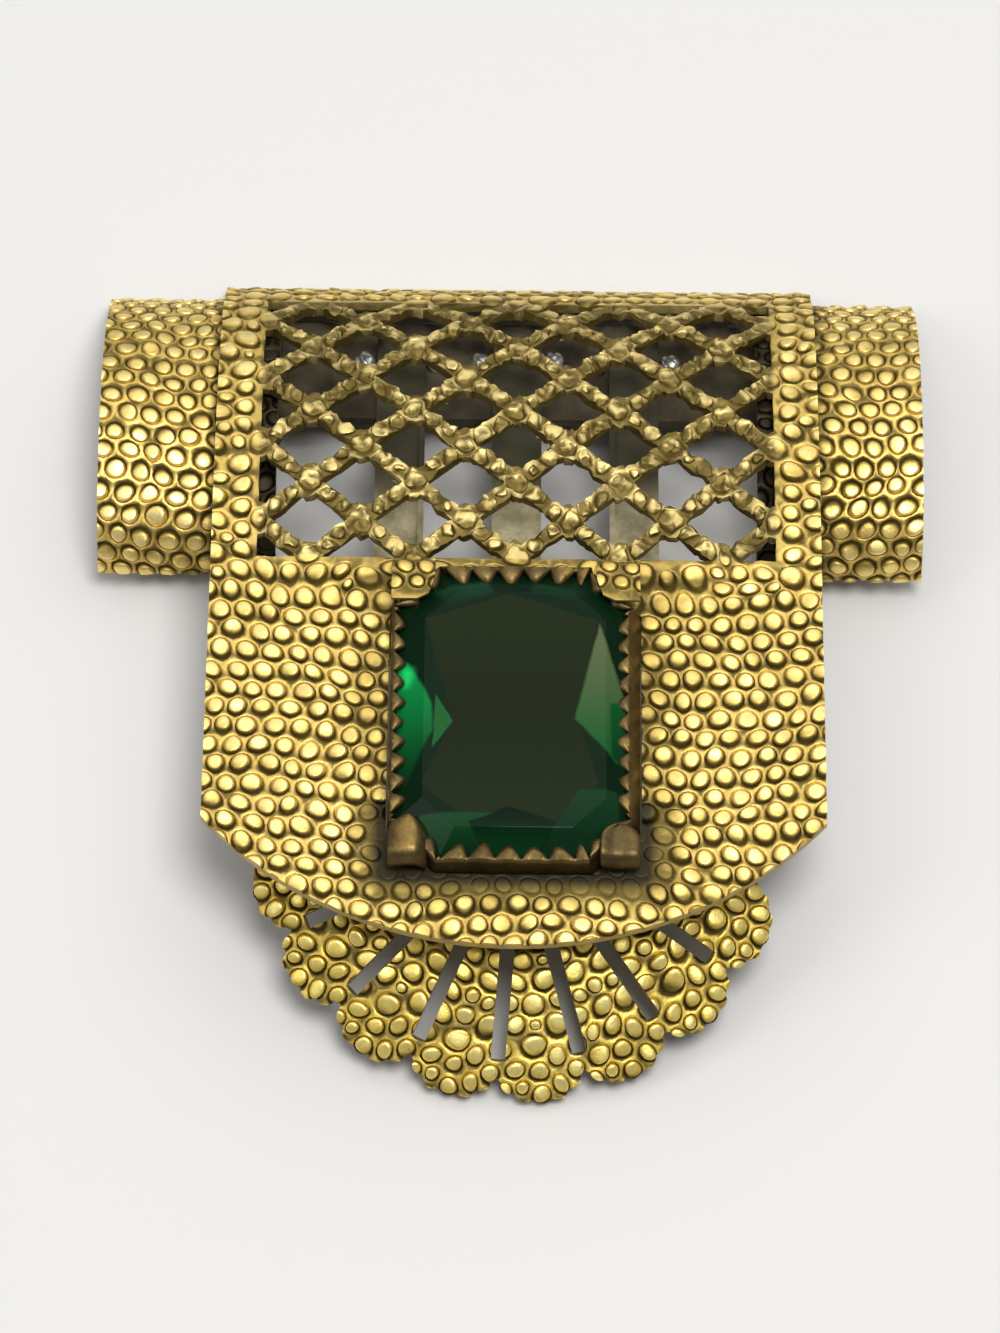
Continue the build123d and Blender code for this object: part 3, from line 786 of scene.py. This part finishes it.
# %% Make the wings
def make_wing(name, node, shade_width, seed):
    """A wing, from its inner end under the plate to its outer end. It is painted near black
    under the plate, as painted shade, and the painted shade thins out over a width past the
    plate's edge."""
    low, high = (corner.x for corner in cad(node))
    scatter = pebble_rows((low - 2, -2), (high + 2, wing_run + 2), pebble_pitch, seed)
    wing = pebbled_blank(name, scatter, lambda x, v: True, lambda x, v: 1.0, sheet, seed)
    outline = [(low, 0), (high, 0), (high, wing_run), (low, wing_run)]
    cut(wing, prism("outline", outline), "INTERSECT")
    keep_relief(wing, scatter)
    under = half_plate - np.abs(points_of(wing)[:, 0])
    # painted shade: near black under the plate, thinning out past its edge
    store(wing, "dirt_and_shade", "POINT", np.clip(1.05 + under / shade_width, 0, 1.5))
    wrap(wing, bar_rear, pi - bar_rear_angle, bar_arcs, -1)
    finish_piece(wing, brass, [node])


make_wing("pebbled_wing_left", "left_wing", 0.6, 21)
make_wing("pebbled_wing_right", "right_wing", 1.0, 34)

# %% [markdown]
# ## Fan
# Eight lobes with slots between them, on a shallow dome that is tilted down from the plate's
# underside. The outline follows the beads round each lobe, so its rim is gently scalloped. The
# blank is cut flat, then each point is carried to the sphere, and the whole is tilted.

# %% Sizes of the fan
fan_dome_r = 40.0
fan_tip_r = 15.0
lobe_count = 8
lobe_pitch = radians(20.5)
lobe_r = 2.8
fan_turn = radians(4.5)
fan_hub_drop = 17.4
fan_shift = 0.25           # to the right
fan_touch = 3.2            # from the hub to where the fan meets the plate
slot_width = 0.8
slot_start_r = 5.0
slot_end_r = 12.7
scallop = 0.2              # depth of the notch between two beads of the rim
rim_bead_pitch = 1.15
fan_strength = 1.15        # its pebbles stand a little prouder than the plate's
fan_shade_r = 10.5         # its painted shade, strongest at the hub under the plate, thins out to this far from the hub
lobe_center_r = fan_tip_r - lobe_r
hub_y = lattice_y - fan_hub_drop
back_z = face_z - sheet


def fan_tilt_angle():
    """The tilt at which the lower edge of the fan's tip reaches the table."""
    touch_sag = fan_dome_r - sqrt(fan_dome_r**2 - fan_touch**2)
    tip_sag = fan_dome_r - sqrt((fan_dome_r - sheet)**2 - fan_tip_r**2)
    run, drop = fan_tip_r - fan_touch, tip_sag - touch_sag
    return np.arcsin((back_z - film) / hypot(run, drop)) - atan2(drop, run), touch_sag


fan_tilt, touch_sag = fan_tilt_angle()
hub_z = back_z - film + fan_touch * sin(fan_tilt) + touch_sag * cos(fan_tilt)
fan_spread = lobe_count * lobe_pitch
lower_side = -pi / 2 - fan_spread / 2
print("fan tilt", round(degrees(fan_tilt), 2), "degrees")


def polar(radius, angle):
    """A place at a distance and a direction from the hub."""
    return radius * cos(angle), radius * sin(angle)


def lobe_outline():
    """Round the lobes, with a shallow scallop at each bead of the rim."""
    outline = []
    bead_turn = rim_bead_pitch / lobe_r
    half = pi / 2 - lobe_pitch / 2 - 0.12   # of a lobe's turn, up to the slots
    steps = 40
    for lobe in range(lobe_count):
        facing = lower_side + (lobe + 0.5) * lobe_pitch
        middle = polar(lobe_center_r, facing)
        if lobe == 0:
            first, last = -pi / 2 - 0.9, half
        elif lobe == lobe_count - 1:
            first, last = -half, pi / 2 + 0.9
        else:
            first, last = -half, half
        for k in range(steps + 1):
            turn = first + (last - first) * k / steps
            reach = lobe_r - scallop * (1 - abs(cos(pi * turn / bead_turn)))
            x, y = polar(reach, facing + turn)
            outline.append((middle[0] + x, middle[1] + y))
    return outline + [(0, 0)]


def fan_centres():
    """Two arcs of pebbles round each lobe, then rings of them between the slots."""
    chance = Random(5)
    found, outside = [], []   # within the rim, and just outside it

    def lay(point, others, gap):
        """Keeps a centre that is clear of those before it."""
        if clear_of(point, found + outside, gap):
            others.append(point)

    for lobe in range(lobe_count):
        facing = lower_side + (lobe + 0.5) * lobe_pitch
        middle = polar(lobe_center_r, facing)
        for reach, count, others in (
                (lobe_r - 0.62, 7, found), (1.0, 3, found), (lobe_r + 0.6, 9, outside)):
            for k in range(count):
                turn = (k - (count - 1) / 2) * 1.2 / reach
                x, y = polar(reach, facing + turn)
                lay((middle[0] + x, middle[1] + y), others, 0.8)
    for ring in range(9):
        radius = lobe_center_r - 0.25 - 1.14 * ring
        count = max(1, round(radius * lobe_pitch / 1.25))
        for k in range(lobe_count * count):
            x, y = polar(radius, lower_side + (k + 0.5) * lobe_pitch / count)
            stray = chance.uniform(-0.12, 0.12), chance.uniform(-0.12, 0.12)
            lay((x + stray[0], y + stray[1]), found, 0.85)
    reach = fan_tip_r + 3
    for point in pebble_rows((-reach, -reach), (reach, reach), 1.2, 55):
        lay(point, found, 1.0)
    return found + outside


# %% Make the fan
fan_spots = fan_centres()
fan = pebbled_blank("pebbled_fan", fan_spots, lambda x, y: hypot(x, y) < fan_tip_r + 0.8,
                    lambda x, y: fan_strength, sheet, 8)
cut(fan, prism("outline", lobe_outline()), "INTERSECT")
slots = []
for k in range(1, lobe_count):
    angle = lower_side + k * lobe_pitch
    across = polar(slot_width / 2, angle + pi / 2)
    ends = [polar(slot_start_r, angle), polar(slot_end_r, angle)]
    outline = [(ends[0][0] - across[0], ends[0][1] - across[1]),
               (ends[1][0] - across[0], ends[1][1] - across[1]),
               (ends[1][0] + across[0], ends[1][1] + across[1]),
               (ends[0][0] + across[0], ends[0][1] + across[1])]
    slots.append(prism("slot", outline))
cut(fan, join(slots, "slot_tool"))
keep_relief(fan, fan_spots)
# painted shade: the fan darkens towards its hub, under the plate's edge
store(fan, "dirt_and_shade", "POINT",
      [max(0, 1 - hypot(x, y) / fan_shade_r) for x, y, _ in points_of(fan)])
print(len(fan_spots), "centres in the fan and round it")

# %% Dome and tilt the fan
points = points_of(fan)
over = np.sqrt(fan_dome_r**2 - points[:, 0]**2 - points[:, 1]**2)
outward = np.column_stack((points[:, 0], points[:, 1], over)) / fan_dome_r
points = outward * (fan_dome_r + points[:, 2:3]) - (0, 0, fan_dome_r)
tilted = Matrix.Translation((fan_shift, hub_y, hub_z)) @ Matrix.Rotation(fan_tilt, 4, "X")
tilted = np.array(tilted @ Matrix.Rotation(-fan_turn, 4, "Z"))
move_points(fan, points @ tilted[:3, :3].T + tilted[:3, 3])
top_of_fan = back_z - film
cut(fan, prism("under_plate", [(-30, -40), (30, -40), (30, 30), (-30, 30)], -20, top_of_fan),
    "INTERSECT")
finish_piece(fan, fan_brass_painted_light, ["fan"])

# %% [markdown]
# ## Tabs over the stone
# Two tongues of the plate's own pebbled sheet were left standing above the stone, bent up over
# its setting and hammered flat on its upper corners. Their ends were snipped, slantwise on the
# inner side, and are smooth there.

# %% Make the tabs
tab_width = 2.4
tab_rise = 1.64            # straight run up from the plate
tab_bend_r = 0.7
tab_heading = radians(115)
tab_run = 2.15             # straight run over the stone
tab_sheet = 0.3
tab_pebble_pitch = 1.2
tab_plain_end = 0.75       # no pebbles this near the end
tab_grime = 0.42
tab_x = setting_high.x - tab_width / 2
tab_length = tab_rise + tab_bend_r * (pi - tab_heading) + tab_run


def make_tab(name, side, seed):
    """A tab over the stone's upper left or right corner."""
    half = tab_width / 2
    scatter = pebble_rows(
        (-half - 2, -2), (half + 2, tab_length + 2), tab_pebble_pitch, seed)
    tab = pebbled_blank(name, scatter, lambda x, v: v < tab_length - tab_plain_end,
                        lambda x, v: 1.0, tab_sheet, seed)
    outline = [(-half, 0), (half, 0), (half, tab_length), (-0.2, tab_length),
               (-half + 0.35, tab_length - 0.35), (-half, tab_length - 1.3)]
    cut(tab, prism("outline", [(side * x, v) for x, v in outline]), "INTERSECT")
    keep_relief(tab, scatter)
    store(tab, "dirt_and_shade", "POINT", [tab_grime] * len(tab.data.vertices))
    wrap(tab, (lattice_y - film, face_z - sheet / 2), tab_heading,
         [(tab_rise, 0), (tab_bend_r, pi - tab_heading), (tab_run, 0)], -1)
    move_points(tab, points_of(tab) + (side * tab_x, 0, 0))
    finish_piece(tab, brass)


make_tab("left_tab", -1, 61)
make_tab("right_tab", 1, 62)

# %% [markdown]
# ## Stone
# A rectangular stone of dark green glass with cut corners, backed with foil. Deep inside it the
# foil lights the back facets in turn: one side glows emerald and the other a paler olive, while
# the rest stays nearly black. These are painted reflections and painted shade: the finish draws
# each one as a polygon with straight sides, in millimetres from the stone's middle.

# %% Painted reflections in the stone
# Each is (its corners, its soft edge, its colour below, its colour above).
painted_reflections = [
    # painted shade of the middle, seen through the table: dark olive, narrowest between the side
    # facets
    ([(-5.0, 5.6), (-0.3, 7.3), (4.5, 5.6), (3.4, -0.6), (-3.4, -0.8)], 0.10,
     rgb(0.0080, 0.0140, 0.0034), rgb(0.0115, 0.0185, 0.0054)),
    ([(-3.4, -0.7), (0.3, -0.6), (0.3, -5.86), (-2.5, -7.0), (-5.1, -4.8)], 0.10,
     rgb(0.0115, 0.0190, 0.0060), rgb(0.0085, 0.0150, 0.0038)),
    ([(-0.8, -0.6), (3.4, -0.5), (4.6, -4.7), (2.2, -7.0), (-0.8, -5.92)], 0.10,
     rgb(0.0115, 0.0190, 0.0060), rgb(0.0085, 0.0150, 0.0038)),
    # the left side: a painted bright reflection as a wedge, and a paler one within the table
    ([(-6.6, 3.4), (-5.9, 3.1), (-4.55, 0.2), (-4.5, -1.4), (-5.9, -4.6), (-6.6, -5.0)], 0.25,
     rgb(0.0016, 0.0243, 0.0066), rgb(0.0032, 0.2231, 0.0495)),
    ([(-4.35, 0.85), (-3.4, -0.85), (-4.5, -2.5)], 0.10,
     rgb(0.0105, 0.0970, 0.0209), rgb(0.0126, 0.0970, 0.0220)),
    ([(-6.25, 2.9), (-5.6, 2.6), (-5.7, 1.6), (-6.2, 1.5)], 0.7,
     rgb(0.0105, 0.5335, 0.1210), rgb(0.0158, 0.6305, 0.1430)),
    # the right side: a painted pale reflection, a spike that widens downwards and turns green
    ([(4.65, 5.4), (6.1, 0.6), (6.2, -2.2), (5.6, -3.3), (3.3, -0.6)], 0.22,
     rgb(0.0063, 0.0825, 0.0165), rgb(0.0893, 0.1164, 0.0520)),
    ([(5.2, 0.4), (6.6, 1.0), (6.6, -4.0), (5.3, -2.9)], 0.25,
     rgb(0.0021, 0.0291, 0.0077), rgb(0.0021, 0.0727, 0.0138)),
    # the lower end: painted dark emerald reflections of the facets under the table's notched
    # edge
    ([(-5.2, -6.6), (-0.5, -6.5), (-1.2, -8.8), (-4.8, -8.8)], 0.15,
     rgb(0.0016, 0.0194, 0.0055), rgb(0.0053, 0.0485, 0.0132)),
    ([(-0.3, -6.15), (2.3, -7.1), (1.2, -8.8), (-1.6, -8.8), (-2.5, -7.1)], 0.10,
     rgb(0.0016, 0.0252, 0.0066), rgb(0.0011, 0.0078, 0.0022)),
    ([(2.3, -7.1), (3.4, -5.0), (5.6, -5.0), (5.8, -7.2), (4.4, -8.8), (1.3, -8.8)], 0.15,
     rgb(0.0026, 0.0194, 0.0066), rgb(0.0063, 0.0340, 0.0121)),
    # the upper end: painted blue-green reflections in streaks
    ([(-4.6, 7.6), (-1.6, 8.4), (-1.2, 7.3), (-3.6, 6.5)], 0.5,
     rgb(0.0037, 0.0194, 0.0077), rgb(0.0063, 0.0485, 0.0209)),
    ([(1.0, 8.2), (3.8, 7.6), (3.4, 6.9), (0.8, 7.4)], 0.35,
     rgb(0.0032, 0.0175, 0.0066), rgb(0.0053, 0.0330, 0.0121)),
]
print(len(painted_reflections), "painted_reflections")


# %% Green glass
def green_glass():
    """Near-black green glass, with painted reflections of lit facets and fine scratches."""
    finish = Finish("green_glass")
    streak = finish.noise(1.8, 6.0, 0.7)
    x = finish.along(0) + (streak - 0.5) * 0.25
    y = finish.along(1) - stone_y + (finish.noise(1.1, 3.0) - 0.5) * 0.25

    def inside(corners, soft):
        """1 inside a convex polygon whose corners run clockwise."""
        share = 1.0
        for (ax, ay), (bx, by) in zip(corners, corners[1:] + corners[:1]):
            length = hypot(bx - ax, by - ay)
            across, along = (by - ay) / length, (ax - bx) / length
            share = finish.rise(x * across + y * along - (ax * across + ay * along),
                                -soft / 2, soft / 2) * share
        return share

    specks = finish.rise(finish.noise(0.16, 3.0, 0.8), 0.62, 0.80)
    colour = finish.blend(streak, rgb(0.0011, 0.0078, 0.0025), rgb(0.0037, 0.0194, 0.0066))
    # each painted reflection or painted shade is laid over the glass's own colour
    for corners, soft, lower, upper in painted_reflections:
        heights = [corner[1] for corner in corners]
        shade = finish.blend(finish.rise(y, min(heights), max(heights)), lower, upper)
        colour = finish.blend(inside(corners, soft), colour, shade)
    colour = finish.blend(specks * 0.16, colour, rgb(0.10, 0.13, 0.09))
    scratches = finish.node("TexNoise", {}, {
        "Vector": finish.here(), "Scale": 900.0, "Detail": 6.0, "Distortion": 2.0})
    return finish.surface(
        Base_Color=colour, Roughness=0.06, Specular_IOR_Level=0.09,
        Normal=finish.bump(scratches, 0.004, 0.3))


# %% Cut the stone
crown = 0.9                       # height from the girdle to the table
girdle = 0.3                      # thickness of the stone's edge
table_size = (5.0, 7.4, 1.8)      # half width, half length and cut corner
girdle_size = (6.5, 9.0, 2.4)
culet_size = (1.5, 4.0, 1.0)
girdle_top = stone_high.z - crown


def ringed(name, rings):
    """A closed solid through rings of points, each with as many points."""
    points = [point for ring in rings for point in ring]
    size = len(rings[0])
    faces = [range(size)[::-1], range(len(points) - size, len(points))]
    for start in range(0, len(points) - size, size):
        for k in range(size):
            after = (k + 1) % size
            faces.append([start + k, start + after, start + size + after, start + size + k])
    piece = mesh_piece(name, points, faces)
    edit(piece)
    return close(piece)


def level(size, z):
    """An octagonal ring round the stone's middle at one height."""
    return [(x, y, z) for x, y in octagon(*size, (0, stone_y))]


stone = ringed("cut_stone", [
    level(culet_size, stone_low.z), level(girdle_size, girdle_top - girdle),
    level(girdle_size, girdle_top), level(table_size, stone_high.z)])
apply(stone, "BEVEL", width=0.015, segments=1, limit_method="ANGLE",
      angle_limit=radians(12))
finish_piece(stone, green_glass(), ["stone"], crease=10)

# %% [markdown]
# ## Setting
# The stone sits in a cup of thin bronzed metal. The cup's edge was rolled in as a plain rim and
# nicked into teeth, which bend over the stone's edge. Two broad claws hold the lower corners.
# Wear has brought the bronze down to gold where it stands proud, and the right claw is painted
# darker than the left, as painted shade.

# %% Bronzed metal
def bronzed():
    """Brown bronze that wear has brought down to gold near its top, with more or less gold where
    a number kept on the mesh says; that number is lower on the right claw, as painted shade.
    """
    finish = Finish("bronzed_setting")
    patches = finish.noise(1.6, 4.0, 0.6)
    grain = finish.noise(0.5, 5.0, 0.65)
    height = finish.along(2) - setting_high.z
    gold_showing = finish.attribute("gold_showing")
    proud = finish.rise(height + (patches - 0.5) * 0.9, -0.75, 0.1) * 0.55 + gold_showing * 0.5
    dull = finish.blend(finish.rise(patches, 0.2, 0.8), rgb(0.075, 0.050, 0.018),
                        rgb(0.17, 0.12, 0.048))
    proud = finish.rise(proud + (grain - 0.5) * 0.5, 0.0, 1.0)
    colour = finish.blend(proud, dull, rgb(0.58, 0.37, 0.08))
    return finish.surface(
        Base_Color=colour, Metallic=0.9, Roughness=0.42 + (grain - 0.5) * 0.25,
        Normal=finish.bump(grain, 0.04))


bronze = bronzed()

# %% Cup with a toothed rim
rim_z = girdle_top + 0.44
tooth_reach = 0.72         # from the rim's bend to a whole tooth's tip
side_pitch = 1.29          # of the teeth along the cup's two sides
end_pitch = 1.5            # and along its ends
cup_corner = 2.63          # length that its corners are cut back by
rim_step = 0.11            # between two points of the rim


def rim_points():
    """Points round the outside of the rim, each with the middle and half length of its side,
    its outward direction and the share of a whole tooth that stands there."""
    corners = octagon(setting_high.x, (setting_high.y - setting_low.y) / 2, cup_corner)
    chance = Random(3)
    found = []
    for k, (ax, ay) in enumerate(corners):
        bx, by = corners[(k + 1) % 8]
        length = hypot(bx - ax, by - ay)
        out = ((by - ay) / length, (ax - bx) / length)
        steps = round(length / rim_step)
        wander = [chance.uniform(0.75, 1.15) for _ in range(14)]
        for step in range(steps):
            x, y = ax + (bx - ax) * step / steps, ay + (by - ay) * step / steps
            if abs(out[0]) > 0.9:
                place, power, size = y / side_pitch, 1.0, 1.0
            elif abs(out[1]) > 0.9:
                place, power, size = (x + 0.3) / end_pitch + 0.5, 0.75, 1.5
            else:
                place, power, size = 2 * step / steps, 1.0, 1.0
            tooth = size * sin(pi * (place % 1))**power * wander[int(place // 1) % 14]
            if step == 0:   # on a corner, between two teeth
                tooth = 0.0
            found.append(((x, y), ((ax + bx) / 2, (ay + by) / 2), length / 2, out, tooth))
    return found


# %% The cup's section
cup_wall = 0.34            # thickness of its wall
cup_floor = 0.3            # and of its floor


def cup_profile(lean, tooth):
    """The cup's section as (inset, height): from its floor up the outside, over the rim and
    out to the tip of a tooth, back under it, and down the inside."""
    reach = 0.12 + tooth_reach * tooth
    bulge = 0.10 * tooth
    return [
        (4.4, setting_low.z), (0.12, setting_low.z), (0, setting_low.z + 0.12),
        (0, face_z + 0.1), (lean * 0.8, rim_z - 0.22), (lean, rim_z - 0.06 + bulge * 0.5),
        (lean + 0.10, rim_z + 0.02 + bulge), (lean + reach * 0.55, rim_z + 0.03 + bulge),
        (lean + reach * 0.9, rim_z - 0.03 + bulge * 0.4), (lean + reach, rim_z - 0.14),
        (lean + reach * 0.9, rim_z - 0.24), (lean + 0.16, rim_z - 0.26),
        (cup_wall, girdle_top), (cup_wall, setting_low.z + cup_floor),
        (4.3, setting_low.z + cup_floor)]


# %% Make the cup
def make_cup():
    """The cup, its wall leaning in on the right, with its rim cut into teeth."""
    rings = []
    for point, middle, half, out, tooth in rim_points():
        lean = 0.08 + 0.45 * max(0, out[0])**2
        ring = []
        for inset, z in cup_profile(lean, tooth):
            slide = 1 - inset * tan(pi / 8) / half
            x, y = (middle[k] + (point[k] - middle[k]) * slide - out[k] * inset
                    for k in (0, 1))
            ring.append((x, stone_y + y, z))
        rings.append(ring)
    size = len(rings[0])
    points = [point for ring in rings for point in ring]
    faces = []
    for k in range(len(rings)):
        here, after = k * size, (k + 1) % len(rings) * size
        faces += [[here + i, after + i, after + i + 1, here + i + 1] for i in range(size - 1)]
    for i in (0, size - 1):   # the floor, below and above
        faces.append(range(i, len(points), size))
    cup = mesh_piece("setting_cup", points, faces)
    edit(cup)
    return close(cup)


cup = make_cup()
store(cup, "gold_showing", "POINT", [0.0] * len(cup.data.vertices))
print("cup of", len(cup.data.vertices), "points")

# %% Claws
claw_width = 2.2
claw_sheet = 0.24
claw_play = 0.02           # the claws stay this far inside the cup's outline


def make_claw(side, reach, droops, gold_showing):
    """A broad tongue that rises outside the cup and lies on a lower corner of the stone.
    droops says how far it droops across its width, from its outer to its inner edge."""
    across, along = 10, 12   # faces across and along it
    root_y = setting_low.y + claw_play
    root_x = side * (setting_high.x - claw_width / 2 - claw_play)
    top = setting_high.z - claw_sheet / 2 - 0.03
    points = []
    for i in range(along + 1):
        share = i / along
        narrow = 1 - max(0, share - 0.55)**2 / 0.2026   # its tip is rounded
        half = claw_width / 2 * max(0.1, sqrt(max(0.0, narrow)))
        for k in range(across + 1):
            part = 2 * k / across - 1
            x = root_x + side * part * -half
            droop = np.interp((part + 1) / 2, np.linspace(0, 1, len(droops)), droops)
            curl = 0.9 * max(0, 1 - share / 0.24)**2 + 0.35 * max(0, share - 0.8)
            points.append((x, root_y + share * reach, top - droop - curl))
    faces = [[i * (across + 1) + k, i * (across + 1) + k + 1,
              (i + 1) * (across + 1) + k + 1, (i + 1) * (across + 1) + k]
             for i in range(along) for k in range(across)]
    claw = mesh_piece("claw", points, faces)
    apply(claw, "SOLIDIFY", thickness=claw_sheet, offset=0)
    apply(claw, "SUBSURF", levels=1, render_levels=1)
    store(claw, "gold_showing", "POINT", [gold_showing] * len(claw.data.vertices))
    return claw


# the claws show less gold than their height gives, and the right one less still, as painted
# shade
left_claw = make_claw(-1, 2.75, (0.34, 0.22, 0.10, 0.04, 0.0, 0.0, 0.26, 0.6), -0.4)
right_claw = make_claw(1, 2.35, (0.35, 0.20, 0.22, 0.28, 0.28, 0.22, 0.08, 0.0), -0.75)
setting = join([cup, left_claw, right_claw], "toothed_setting")
finish_piece(setting, bronze, ["stone_setting"], crease=50)

# %% [markdown]
# ## Metal behind the lattice
# The rail, straps, hinge and catch keep the frame's own shapes, which are plain strip and wire
# in life as well. They get finishes: the straps are pale and speckled, with painted shade where
# they run under the lattice, and the rail behind them is painted dark brown, as painted shade.
# The solder is remade as soft blobs.

# %% Plain metals
def plain_metal(name, dark, light, patch, roughness, shade_y=None):
    """A metal that varies between two colours, in patches of a size in millimetres.
    It may be darkened behind a place in y, as painted shade."""
    finish = Finish(name)
    patches = finish.noise(patch, 5.0, 0.62)
    specks = finish.rise(finish.noise(0.35, 3.0), 0.62, 0.72)
    colour = finish.blend(finish.rise(patches, 0.3, 0.7), dark, light)
    colour = finish.blend(specks * 0.5, colour, dark)
    if shade_y is not None:
        y = finish.along(1) + patches
        behind = finish.rise(y, shade_y - 0.6, shade_y + 3)
        # painted shade: the straps darken where they run under the lattice's upper rows
        colour = finish.blend(behind, colour, rgb(0.075, 0.067, 0.042))
    return finish.surface(
        Base_Color=colour, Metallic=0.85, Roughness=roughness + (patches - 0.5) * 0.25,
        Normal=finish.bump(finish.noise(0.3, 4.0), 0.02))


strap_metal = plain_metal("strap_brass", rgb(0.30, 0.26, 0.15), rgb(0.64, 0.57, 0.36),
                          1.5, 0.5, lattice_y + 5.6)
# painted shade: the rail is kept dark, as it lies in shadow behind the lattice
rail_shaded_metal = plain_metal("rail_brass_painted_dark", rgb(0.05, 0.04, 0.026), rgb(0.13, 0.105, 0.065),
                         3.0, 0.55)
hardware = plain_metal("hardware_brass", rgb(0.30, 0.22, 0.09), rgb(0.62, 0.50, 0.25),
                       1.2, 0.42)
wire = plain_metal("pin_metal", rgb(0.46, 0.43, 0.38), rgb(0.60, 0.57, 0.52), 2.0, 0.32)
foil = plain_metal("foil", rgb(0.55, 0.56, 0.52), rgb(0.80, 0.80, 0.78), 1.0, 0.3)
finishes = {
    "back_rail": rail_shaded_metal, "strap_left": strap_metal, "strap_center": strap_metal,
    "strap_right": strap_metal, "hinge_bracket": hardware, "catch_housing": hardware,
    "catch_rotor": hardware, "hinge_rivet": wire, "pin_stem": wire, "foil_backing": foil}
for node, material in finishes.items():
    for slot in bpy.data.objects[node].material_slots:
        slot.material = material
print(len(finishes), "nodes keep their own shapes")

# %% Solder
solder = plain_metal("solder", rgb(0.45, 0.45, 0.42), rgb(0.85, 0.85, 0.80), 0.8, 0.25)
strap_pitch = 6.7
strap_width = 2.8
bead_low, bead_high = cad("solder_beads")
bead_r = (bead_high.y - bead_low.y) / sqrt(3)   # the frame's beads are hexagonal in plan
blobs = []
chance = Random(9)
for place in (-1, 0, 1):
    for side in (-1, 1):
        x = place * strap_pitch + side * (strap_width / 2 + bead_r)
        bpy.ops.object.select_all(action="DESELECT")
        bpy.ops.mesh.primitive_ico_sphere_add(subdivisions=4, radius=1)
        blob = bpy.context.object
        grow = [bead_r * chance.uniform(0.8, 1.0), bead_r * chance.uniform(0.9, 1.25),
                (bead_high.z - bead_low.z) * chance.uniform(0.9, 1.05)]
        wobble = [chance.uniform(1.5, 3.0) for _ in range(3)]
        points = points_of(blob)
        points *= 1 + 0.10 * np.sin(points @ wobble * 1.7 + place)[:, None]
        points = points * grow + (x, (bead_low.y + bead_high.y) / 2, bead_low.z)
        points[:, 2] = np.maximum(points[:, 2], bead_low.z)
        move_points(blob, points)
        blobs.append(blob)
finish_piece(join(blobs, "solder_blobs"), solder, ["solder_beads"])

# %% [markdown]
# ## Floor, light and camera
# A pale floor and soft lamps show the metal plainly.

# %% Floor
floor_material = Finish("floor").surface(Base_Color=rgb(0.68, 0.67, 0.65), Roughness=0.8)
bpy.ops.object.select_all(action="DESELECT")
bpy.ops.mesh.primitive_plane_add(size=4)
floor = bpy.context.object
floor.name = "floor"
floor.data.materials.append(floor_material)

# %% Lamps
def lamp(name, place, target, size, power):
    """A round lamp of a size in metres, aimed at a place."""
    data = bpy.data.lights.new(name, "AREA")
    data.shape = "DISK"
    data.size = size
    data.energy = power
    made = bpy.data.objects.new(name, data)
    bpy.context.scene.collection.objects.link(made)
    made.location = place
    made.rotation_euler = (Vector(target) - Vector(place)).to_track_quat("-Z", "Y").to_euler()
    print(name, "lamp of", power, "W")


lamp("key", (0.06, 0.34, 0.56), (0, 0, 0), 1.0, 2.6)
lamp("fill", (-0.45, -0.1, 0.45), (0, 0, 0), 0.35, 0.6)
lamp("top", (0.10, -0.12, 0.62), (0, -0.015, 0), 0.3, 2.75)
world = bpy.data.worlds.new("studio")
world.use_nodes = True
world.node_tree.nodes["Background"].inputs["Color"].default_value = rgb(0.5, 0.5, 0.5)
world.node_tree.nodes["Background"].inputs["Strength"].default_value = 0.48
bpy.context.scene.world = world
bpy.context.scene.view_settings.view_transform = "Standard"

# %% Camera
elevation = radians(60)
distance = 0.330
roll = radians(0.6)
aim_left, aim_low = 0.84, 6.1   # mm from the middle of the lattice's lower edge
ahead = Vector((0, cos(elevation), -sin(elevation)))
up = Vector((0, sin(elevation), cos(elevation)))
side = Vector((1, 0, 0))
anchor = Vector((0, lattice_y, face_z)) * MM
target = anchor - side * aim_left * MM - up * aim_low * MM
data = bpy.data.cameras.new("camera")
data.lens = 159.3
data.clip_start = 0.01
camera = bpy.data.objects.new("camera", data)
bpy.context.scene.collection.objects.link(camera)
camera.location = target - ahead * distance
camera.rotation_mode = "QUATERNION"
camera.rotation_quaternion = (-ahead).to_track_quat("Z", "Y")
camera.rotation_quaternion.rotate(Matrix.Rotation(roll, 3, -ahead))
bpy.context.scene.camera = camera
print("camera at", [round(value, 3) for value in camera.location], "m")
